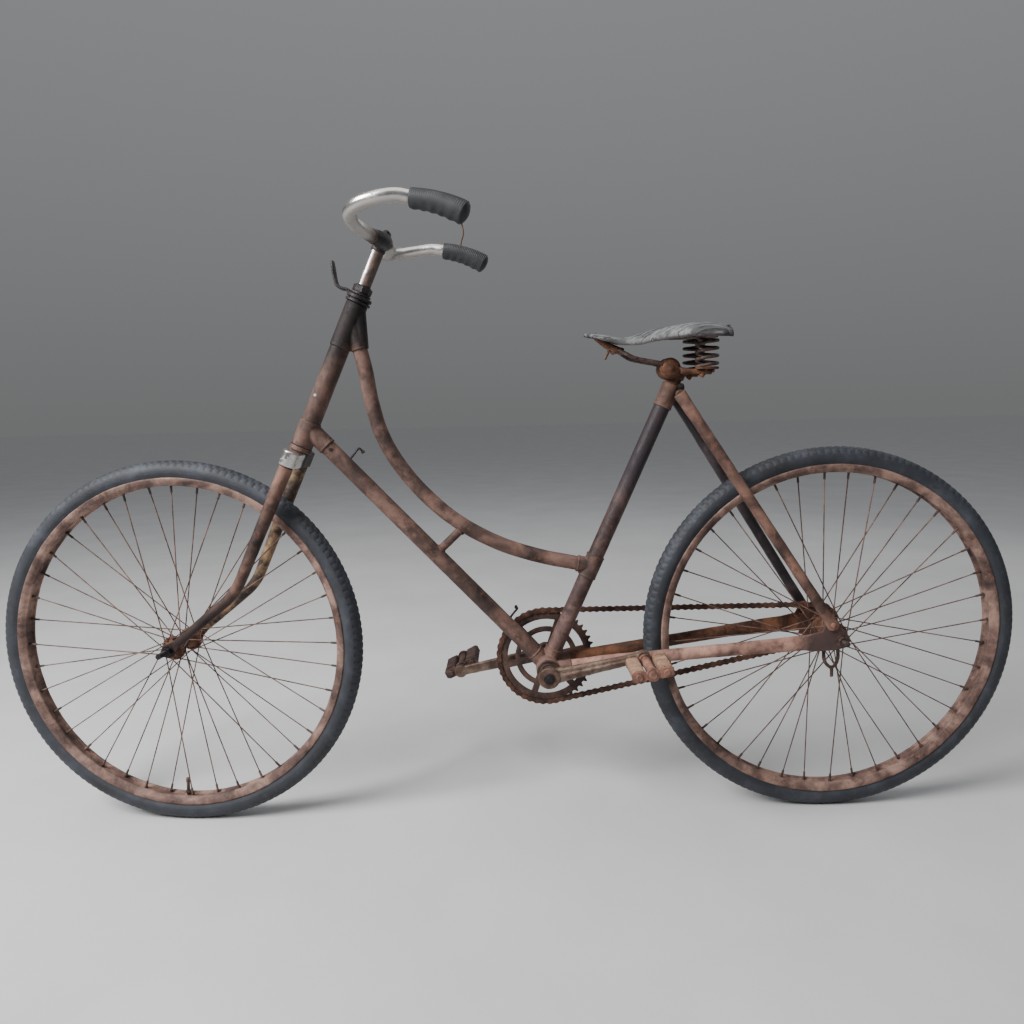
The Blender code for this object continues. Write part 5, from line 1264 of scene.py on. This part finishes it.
def add_saddle_frame():
    """Coil springs, the bent rail, the nose bracket, the clamp and the post."""
    spring_x, spring_y = SPRING_AT
    half, height, drop = saddle_section(spring_x + SPRING_R)
    u = math.asin(spring_y / half) / (math.pi / 2)
    top = height - drop * abs(u) ** 2.6 - 0.0092
    for side, word in ((1, "left"), (-1, "right")):
        steps = 30 * SPRING_TURNS
        path = []
        for i in range(steps + 1):
            angle = side * 2 * math.pi * i * SPRING_TURNS / steps
            path.append(spot(spring_x + SPRING_R * math.cos(angle), side * spring_y + SPRING_R * math.sin(angle),
                             SPRING_LOW + SPRING_WIRE_R + (top - SPRING_LOW - 2 * SPRING_WIRE_R) * i / steps))
        coil = Shape()
        coil.sweep(path, SPRING_WIRE_R, side=UP, sides=14)
        piece(f"saddle_spring_{word}_steel", coil, M["spring"], "frame", [f"saddle_spring_{word}"],
              rough=0.0002, grain=0.006)
    beside = 0.0155 + RAIL_R + 0.0006
    rail = [(spring_x - 0.012, spring_y, SPRING_LOW - RAIL_R), (spring_x + 0.020, spring_y, SPRING_LOW - RAIL_R),
            (0.2650, 0.0290, 0.7990), (0.2790, beside, 0.8035), (0.3080, beside, 0.8120),
            (0.3480, 0.0190, 0.8205), (0.3640, 0.0170, 0.8280), (0.3780, 0.0080, 0.8370)]
    points = [spot(*p) for p in rail] + [spot(x, -y, z) for x, y, z in rail[::-1]]
    wire = Shape()
    wire.sweep(smooth_path(points, 10), RAIL_R, side=UP, sides=20)
    feet = Shape()
    for y in (spring_y, -spring_y):
        under = spot(spring_x, y, SPRING_LOW)
        feet.turn([(0.0, 0.0), (0.0190, 0.0), (0.0196, 0.0030), (0.0176, 0.0036), (0.0150, 0.0012), (0.0, 0.0012)],
                  facing(under - UP * 0.0012, UP, LEFT), 36)
        feet.rod(under + Vector((-0.0080, 0, -0.0055)), under + Vector((0.0430, 0, -0.0035)), 0.0045, 20, 0.0012)
        feet.rod(under + Vector((0.0100, 0, -0.0130)), under, 0.0044, 20, 0.0008)
    piece("saddle_spring_feet", feet, M["rust"], "frame", rough=0.0003, grain=0.006)
    piece("saddle_rail_steel", wire, M["spring"], "frame", ["saddle_rail"], rough=0.0003, grain=0.008)
    nose = Shape()
    points = [spot(x, 0, z) for x, z in ((0.3680, 0.8335), (0.3810, 0.8375), (0.3960, 0.8450), (0.4160, 0.8570))]
    path = smooth_path(points, 8)
    total = len(path) - 1
    sizes = [(blend_value(((0, 0.0125), (0.5, 0.0115), (1, 0.0085)), i / total),
              blend_value(((0, 0.0055), (0.5, 0.0060), (0.8, 0.0042), (1, 0.0020)), i / total))
             for i in range(len(path))]
    nose.sweep(path, sizes, sides=28, power=4.0)
    nose.rod(spot(0.3830, -0.014, 0.8355), spot(0.3830, 0.014, 0.8355), 0.0058, 24, 0.0008)
    piece("saddle_nose_steel", nose, M["rust"], "frame", ["saddle_nose"], melt=0.0008,
          rough=0.0005, grain=0.006)
    stub = Shape()
    stub.rod(spot(0.3905, 0.004, 0.8400), spot(0.3995, 0.004, 0.8210), 0.0024, 16, 0.0004)
    piece("saddle_tension_bolt", stub, M["spoke"], "frame")
    x, z = SADDLE_CLAMP
    centre = spot(x, 0, z)
    clamp = Shape()
    foot = (centre - BB).dot(SEAT_UP)
    clamp.rod(centre - LEFT * 0.0155, centre + LEFT * 0.0155, 0.0180, 48, 0.0015)
    clamp.rod(seat_tube(foot - 0.0097), seat_tube(foot + 0.010), 0.0155, 48, 0.0012)
    piece("saddle_clamp_steel", clamp, M["rust"], "frame", ["saddle_clamp"], melt=0.0009, rough=0.0006,
          grain=0.008)
    washers = Shape()
    for side in (1, -1):
        out = beside + RAIL_R * 0.4
        profile = [(0.0, out + 0.0100), (0.0030, out + 0.0096), (0.0048, out + 0.0080), (0.0072, out + 0.0066),
                   (0.0100, out + 0.0058), (0.0128, out + 0.0040), (0.0142, out + 0.0026), (0.0142, out),
                   (0.0168, out - 0.0008), (0.0175, out - 0.0024), (0.0170, 0.0140), (0.0, 0.0140)]
        washers.turn([(r, side * y) for r, y in profile], facing(centre, LEFT, UP), 44)
    piece("saddle_clamp_washers", washers, M["rust"], "frame", rough=0.0005, grain=0.006)
    post = Shape()
    post.rod(seat_tube(SEAT_TUBE_TOP - 0.02), seat_tube(foot - 0.0099), 0.0125, 40, 0.0)
    piece("seat_post_steel", post, M["rust"], "frame", ["seat_post"], rough=0.0003)


# Drive


def pitch_radius(teeth):
    """The radius of the circle that the chain's pins follow."""
    return CHAIN_PITCH / 2 / math.sin(math.pi / teeth)


def chain_pins():
    """The chain's pins in order, x and z, on the rings and evenly along both runs."""
    ring_r = pitch_radius(RING_TEETH)
    sprocket_r = pitch_radius(SPROCKET_TEETH)
    ring = Vector((BB.x, BB.z))
    sprocket = Vector((REAR_AXLE.x, REAR_AXLE.z))
    line = sprocket - ring
    tilt = math.atan2(line.y, line.x)
    lean = math.acos((ring_r - sprocket_r) / line.length)

    def on_wheel(centre, radius, teeth, first, last, phase):
        step = 2 * math.pi / teeth
        low = math.ceil((first - phase) / step - 1e-6)
        high = math.floor((last - phase) / step + 1e-6)
        return [centre + Vector((math.cos(phase + step * k), math.sin(phase + step * k))) * radius
                for k in range(low, high + 1)]

    ring_pins = on_wheel(ring, ring_r, RING_TEETH, tilt + lean - 2 * math.pi, tilt - lean, CRANK_REST)
    sprocket_pins = on_wheel(sprocket, sprocket_r, SPROCKET_TEETH, tilt - lean, tilt + lean, 0.0)
    pins = ring_pins[::-1]
    runs = [(ring_pins[0], sprocket_pins[-1]), (sprocket_pins[0], ring_pins[-1])]
    counts = [round((b - a).length / CHAIN_PITCH) for a, b in runs]
    if (len(ring_pins) + len(sprocket_pins) + sum(counts)) % 2:
        counts[1] += 1
    for (a, b), count, tail in zip(runs, counts, (sprocket_pins[::-1], [])):
        pins += [a.lerp(b, i / count) for i in range(1, count)]
        pins += tail
    return pins, (sprocket, sprocket_r)


def link_outline(length):
    """A figure-eight side plate between two pins."""
    end_r = 0.0050
    waist = 0.0032
    outline = circle(end_r, 9, math.radians(65), math.radians(230), (0, 0), False)
    outline += [Vector((length / 2, -waist))]
    outline += circle(end_r, 9, math.radians(-115), math.radians(230), (length, 0), False)
    outline += [Vector((length / 2, waist))]
    return outline


def add_chain():
    """The chain's links: pairs of side plates, inner and outer in turn, with rollers between."""
    pins, (sprocket, sprocket_r) = chain_pins()
    shape = Shape()
    count = len(pins)
    for i, a in enumerate(pins):
        b = pins[(i + 1) % count]
        start = Vector((a.x, CHAINLINE_Y, a.y))
        run = Vector((b.x, CHAINLINE_Y, b.y)) - start
        offset = 0.0022 if i % 2 else 0.0034
        for side in (1, -1):
            plane = facing(start + LEFT * side * offset, LEFT * -1, run)
            shape.plate(link_outline(run.length), 0.0010, plane)
        if (a - sprocket).length > sprocket_r + 0.004:
            shape.rod(start - LEFT * 0.0016, start + LEFT * 0.0016, 0.0039, 12)
        shape.rod(start - LEFT * 0.0046, start + LEFT * 0.0046, 0.0017, 8)
    piece("chain_links", shape, M["chain"], "frame", ["chain"], sharp=40)


def flat_ring(name, outlines, thickness, lip):
    """A flat part with holes, as a mesh in its own XY plane."""
    curve = bpy.data.curves.new(name, "CURVE")
    curve.dimensions = "2D"
    curve.fill_mode = "BOTH"
    curve.extrude = thickness / 2 - lip
    curve.bevel_depth = lip
    curve.bevel_resolution = 1
    curve.offset = -lip
    for outline in outlines:
        spline = curve.splines.new("POLY")
        spline.points.add(len(outline) - 1)
        for target, point in zip(spline.points, outline):
            target.co = (point[0], point[1], 0, 1)
        spline.use_cyclic_u = True
    holder = bpy.data.objects.new(name, curve)
    bpy.context.scene.collection.objects.link(holder)
    graph = bpy.context.evaluated_depsgraph_get()
    mesh = bpy.data.meshes.new_from_object(holder.evaluated_get(graph))
    bpy.data.objects.remove(holder)
    return mesh


def add_chainring():
    """The toothed ring: an outer ring, an inner ring and six arms."""
    radius = pitch_radius(RING_TEETH)
    step = 2 * math.pi / RING_TEETH
    outline = []
    for i in range(RING_TEETH):
        for reach, share in ((-0.0039, 0.14), (-0.0030, 0.22), (0.0012, 0.38), (0.0026, 0.46), (0.0026, 0.54),
                             (0.0012, 0.62), (-0.0030, 0.78), (-0.0039, 0.86)):
            angle = step * (i + share) + CRANK_REST
            outline.append(Vector(((radius + reach) * math.cos(angle), (radius + reach) * math.sin(angle))))
    outlines = [outline]
    arm = 0.0060
    for low, high in ((0.0240, 0.0480), (0.0580, 0.0722)):
        for k in range(6):
            start = CRANK_REST + math.radians(60 * k)
            end = start + math.radians(60)
            a = math.asin(arm / high)
            b = math.asin(arm / low)
            outlines.append(circle(high, 14, start + a, end - start - 2 * a, closed=False)
                            + circle(low, 10, end - b, start - end + 2 * b, closed=False))
    mesh = flat_ring("chainring_steel", outlines, 0.003, 0.0004)
    plane = facing(BB + LEFT * CHAINLINE_Y, LEFT * -1, (1, 0, 0))
    mesh.transform(plane)
    shape = Shape()
    shape.corners = [v.co.copy() for v in mesh.vertices]
    shape.faces = [tuple(p.vertices) for p in mesh.polygons]
    bpy.data.meshes.remove(mesh)
    piece("chainring_steel", shape, M["ring"], "crank", ["chainring"], sharp=30)


def add_cranks():
    """Both crank arms with their bosses, and the axle between them."""
    axle = Shape()
    axle.rod(BB - LEFT * 0.043, BB + LEFT * 0.061, 0.0080, 32, 0.0006)
    piece("crank_axle_steel", axle, M["black"], "crank", ["crank_spindle"])
    for side, word in ((1, "left"), (-1, "right")):
        angle = CRANK_REST if side > 0 else CRANK_REST + math.pi
        run = Vector((math.cos(angle), 0, math.sin(angle)))
        up = LEFT.cross(run) * -1
        centre = BB + LEFT * side * CRANK_Y
        arm = Shape()
        arm.rod(centre - LEFT * side * 0.0058, centre + LEFT * side * 0.0064, 0.0192, 56, 0.0014)
        eye = centre + run * CRANK_LENGTH
        arm.rod(eye - LEFT * side * 0.0058, eye + LEFT * side * 0.0058, 0.0118, 40, 0.0010)
        rings = []
        for i in range(41):
            t = i / 40
            at = centre + run * CRANK_LENGTH * t
            wide = blend_value(((0, 0.0150), (0.18, 0.0118), (0.55, 0.0098), (0.9, 0.0088), (1, 0.0090)), t)
            thick = blend_value(((0, 0.0056), (0.2, 0.0054), (1, 0.0050)), t)
            ridge = 0.0018 * min(1.0, max(0.0, (t - 0.12) / 0.06), max(0.0, (0.92 - t) / 0.06))
            section = [(-1.0, -0.7), (-1.0, 0.30), (-0.72, 0.72), (-0.28, 0.86), (-0.12, 1.0), (0.12, 1.0),
                       (0.28, 0.86), (0.72, 0.72), (1.0, 0.30), (1.0, -0.7), (0.8, -1.0), (-0.8, -1.0)]
            ring = []
            for across, out in section:
                lift = ridge if abs(across) < 0.2 and out > 0.9 else 0.0
                ring.append(at + up * across * wide + LEFT * side * (out * thick + lift))
            rings.append(ring)
        arm.skin(rings)
        if side < 0:
            arm.rod(BB + LEFT * (CHAINLINE_Y - 0.0018), centre, 0.0170, 48, 0.0005)
        piece(f"crank_{word}_steel", arm, M["crank"], "crank", [f"crank_{word}"],
              melt=0.0008, calm=3, rough=0.0004, grain=0.006)
        out = centre + LEFT * side * 0.0062
        bolt = Shape()
        bolt.rod(out - LEFT * side * 0.0010, out + LEFT * side * 0.0022, 0.0098, 40, 0.0006)
        bolt.plate(circle(0.0060, 6, 0.2), 0.0020, facing(out + LEFT * side * 0.0028, LEFT * side, run), 0.0005)
        bolt.rod(eye + LEFT * side * 0.0050, eye + LEFT * side * 0.0080, 0.0070, 28, 0.0008)
        piece(f"crank_bolt_{word}", bolt, M["black"], "crank")


def add_pedal(word, side):
    """A pedal: centre tube, bent end plates with nuts, and two worn rubber blocks."""
    place, _ = joint_axis(f"pedal_{word}_spin")
    tilt = PEDAL_TILT[word]
    ahead = Quaternion((0, 1, 0), tilt) @ Vector((1, 0, 0))
    upward = Quaternion((0, 1, 0), tilt) @ UP
    y0, y1 = 0.0860 * side, 0.1540 * side

    def at(x, y, z):
        return Vector((place.x, 0, place.z)) + ahead * x + LEFT * y + upward * z

    tube = Shape()
    tube.rod(at(0, side * 0.0750, 0), at(0, side * 0.1590, 0), 0.0080, 36, 0.001)
    tube.turn([(0.0, 0.0062), (0.0050, 0.0058), (0.0072, 0.0036), (0.0078, 0.0), (0.0, 0.0)],
              facing(at(0, side * 0.1548, 0), LEFT * side, ahead), 28)
    for y in (y0, y1):
        plane = Matrix((ahead, upward, ahead.cross(upward))).transposed().to_4x4()
        plane = Matrix.Translation(at(0, y, 0)) @ plane
        reach = 0.0345
        outline = [Vector((reach, 0.0060)), Vector((reach - 0.004, 0.0088)), Vector((0.013, 0.0088)),
                   Vector((0.009, 0.0060)), Vector((-0.009, 0.0060)), Vector((-0.013, 0.0088)),
                   Vector((4e-3 - reach, 0.0088)), Vector((-reach, 0.0060)), Vector((-reach, -0.0060)),
                   Vector((0.004 - reach, -0.0088)), Vector((-0.013, -0.0088)), Vector((-0.009, -0.0060)),
                   Vector((0.009, -0.0060)), Vector((0.013, -0.0088)), Vector((reach - 0.004, -0.0088)),
                   Vector((reach, -0.0060))]
        tube.plate(outline, 0.0030, plane, 0.0006)
        tube.rod(at(0, y - 0.003, 0), at(0, y + 0.003, 0), 0.0112, 32, 0.0008)
        for x in (0.0225, -0.0225):
            outward = 1 if abs(y) > 0.1 else -1
            tube.rod(at(x, y, 0), at(x, y + side * outward * 0.0046, 0), 0.0054, 20, 0.0012)
    # The far pedal's steel takes a darker finish than the near pedal's: painted shade.
    piece(f"pedal_{word}_steel", tube, M["pedal" if side > 0 else "spring"], f"pedal_{word}", [f"pedal_{word}"],
          rough=0.0004, grain=0.005)
    for x, end in ((0.0225, "front"), (-0.0225, "rear")):
        block = Shape()
        count = 34
        low = 0.0880
        high = 0.1520
        path = []
        sizes = []
        for i in range(count + 1):
            t = i / count
            path.append(at(x, side * (low + (high - low) * t), 0))
            worn = 0.94 + 0.06 * abs(2 * t - 1) ** 2
            groove = 0.93 if i % 4 == 2 else 1.0
            sizes.append((0.0104 * worn * groove, 0.0110))
        block.sweep(path, sizes, side=upward, sides=36, power=4.5)
        # The far pedal's blocks take the darker copy of the rubber: painted shade.
        piece(f"pedal_block_{word}_{end}_rubber", block, M["block" if side > 0 else "shaded_far_block"], f"pedal_{word}",
              [f"pedal_block_{word}_{end}"], sharp=45, rough=0.0003, grain=0.008)


# Small things


def add_small_things():
    """Wire hooks on the tubes, the plate under the rear axle and the wire on a grip."""
    hooks = Shape()
    for points in (((0.8490, 0.6560), (0.8400, 0.6665), (0.8310, 0.6770), (0.8270, 0.6765), (0.8228, 0.6717)),
                   ((0.5770, 0.3610), (0.5655, 0.3760), (0.5592, 0.3834), (0.5590, 0.3858), (0.5609, 0.3872))):
        hooks.sweep(smooth_path([spot(x, 0, z) for x, z in points], 6), 0.0020, side=LEFT, sides=10)
        hooks.rod(spot(points[-1][0], -0.003, points[-1][1]), spot(points[-1][0], 0.003, points[-1][1]), 0.0030, 12)
    piece("tube_hooks", hooks, M["black"], "frame")
    # A near-black disc stands in for a hole in the tube: painted shade.
    hole = Shape()
    hole.rod(spot(0.8756, 0.0110, 0.6776), spot(0.8756, 0.0147, 0.6776), 0.0030, 16)
    piece("tube_hole_shade_disc", hole, M["hole"], "frame")
    chip = Shape()
    chip.rod(spot(0.8967, 0.0130, 0.7714), spot(0.8967, 0.0168, 0.7714), 0.0024, 9)
    piece("paint_chip", chip, M["chip"], "frame")
    hanger = Shape()
    left = [spot(0.0270, 0.052, 0.314), spot(0.0250, 0.052, 0.296), spot(0.0200, 0.052, 0.286),
            spot(0.0120, 0.052, 0.280)]
    right = [spot(0.0020, 0.052, 0.314), spot(0.0010, 0.052, 0.298), spot(0.0050, 0.052, 0.286),
             spot(0.0120, 0.052, 0.280)]
    stem = [spot(0.0120, 0.052, 0.284), spot(0.0110, 0.052, 0.272), spot(0.0105, 0.052, 0.264)]
    for points in (left, right, stem):
        hanger.sweep(smooth_path(points, 6), [(0.0016, 0.0030)] * (6 * (len(points) - 1) + 1), sides=14, power=4.0)
    piece("axle_hanger", hanger, M["spring"], "frame", rough=0.0006, grain=0.005)
    valve = Shape()
    out = Vector((0.035, 0, -1)).normalized()
    foot = FRONT_AXLE + out * (RIM_INNER_R + 0.001)
    valve.rod(foot, foot - out * 0.024, 0.0029, 16, 0.0004)
    valve.rod(foot - out * 0.004, foot - out * 0.008, 0.0050, 6, 0.0006)
    valve.rod(foot - out * 0.024, foot - out * 0.032, 0.0038, 16, 0.0006)
    piece("front_valve", valve, M["spring"], "front_wheel", steered=True)
    wire = Shape()
    end = spot(*GRIP_END)
    points = [end + Vector((0.010, 0.0, -0.012)), end + Vector((0.008, -0.002, -0.026)),
              end + Vector((0.011, -0.003, -0.036)), end + Vector((0.013, -0.002, -0.046))]
    wire.sweep(smooth_path(points, 6), 0.0010, side=LEFT, sides=10)
    piece("grip_wire", wire, M["rust"], "fork", steered=True)


def add_stage():
    """A plain pale floor, soft light and the camera of the picture."""
    scene = bpy.context.scene
    bpy.ops.mesh.primitive_plane_add(size=80.0, location=(0, 0, cad_low.z))
    floor = bpy.context.active_object
    floor.name = "floor"
    look = Look("pale_floor")
    grain = look.ramp(look.cloud(3.0, 6.0, 0.6), [(0.3, (0.50, 0.50, 0.50)), (0.7, (0.56, 0.56, 0.56))])
    floor.data.materials.append(look.finish(grain, 0.9, 0.0))
    world = bpy.data.worlds.new("studio")
    world.use_nodes = True
    scene.world = world
    tree = world.node_tree
    split = tree.nodes.new("ShaderNodeSeparateXYZ")
    tree.links.new(tree.nodes.new("ShaderNodeTexCoord").outputs["Generated"], split.inputs[0])
    sky = tree.nodes.new("ShaderNodeValToRGB")
    sky.color_ramp.elements[0].color = (0.44, 0.445, 0.45, 1.0)
    sky.color_ramp.elements[1].color = (0.80, 0.82, 0.86, 1.0)
    sky.color_ramp.elements[1].position = 0.7
    tree.links.new(split.outputs["Z"], sky.inputs["Fac"])
    tree.links.new(sky.outputs["Color"], tree.nodes["Background"].inputs["Color"])
    tree.nodes["Background"].inputs["Strength"].default_value = 0.36
    for name, place, target, size, power in (
            ("key_light", (2.5, 1.4, 1.7), (0.3, 0, -0.4), 1.4, 210.0),
            ("top_light", (0.3, 0.6, 2.6), (0.3, 0, 0.0), 3.0, 40.0),
            ("rear_light", (-1.8, -2.2, 1.4), (0.3, 0, -0.4), 2.5, 12.0)):
        light = bpy.data.lights.new(name, "AREA")
        light.size = size
        light.energy = power
        lamp = bpy.data.objects.new(name, light)
        lamp.location = place
        lamp.rotation_euler = (Vector(target) - Vector(place)).to_track_quat("-Z", "Y").to_euler()
        scene.collection.objects.link(lamp)
    camera = bpy.data.cameras.new("camera")
    camera.sensor_width = 36.0
    camera.lens = 25.58
    eye = bpy.data.objects.new("camera", camera)
    start = Matrix(((-1, 0, 0), (0, 0, 1), (0, 1, 0)))
    turn = (Matrix.Rotation(math.radians(1.25), 3, "Z") @ Matrix.Rotation(math.radians(7.78), 3, "X")
            @ Matrix.Rotation(math.radians(-0.13), 3, "Y") @ start)
    eye.matrix_world = Matrix.Translation((0.3165, 1.2759, -0.1477)) @ turn.transposed().to_4x4()
    scene.collection.objects.link(eye)
    scene.camera = eye


add_stage()
add_wheels()
add_head()
add_tubes()
add_seat_lug()
add_bottom_bracket()
add_stays()
add_fork()
add_lamp_bracket()
add_handlebar()
add_saddle()
add_saddle_frame()
add_chain()
add_chainring()
add_cranks()
for pedal_word, pedal_side in (("left", 1), ("right", -1)):
    add_pedal(pedal_word, pedal_side)
add_small_things()
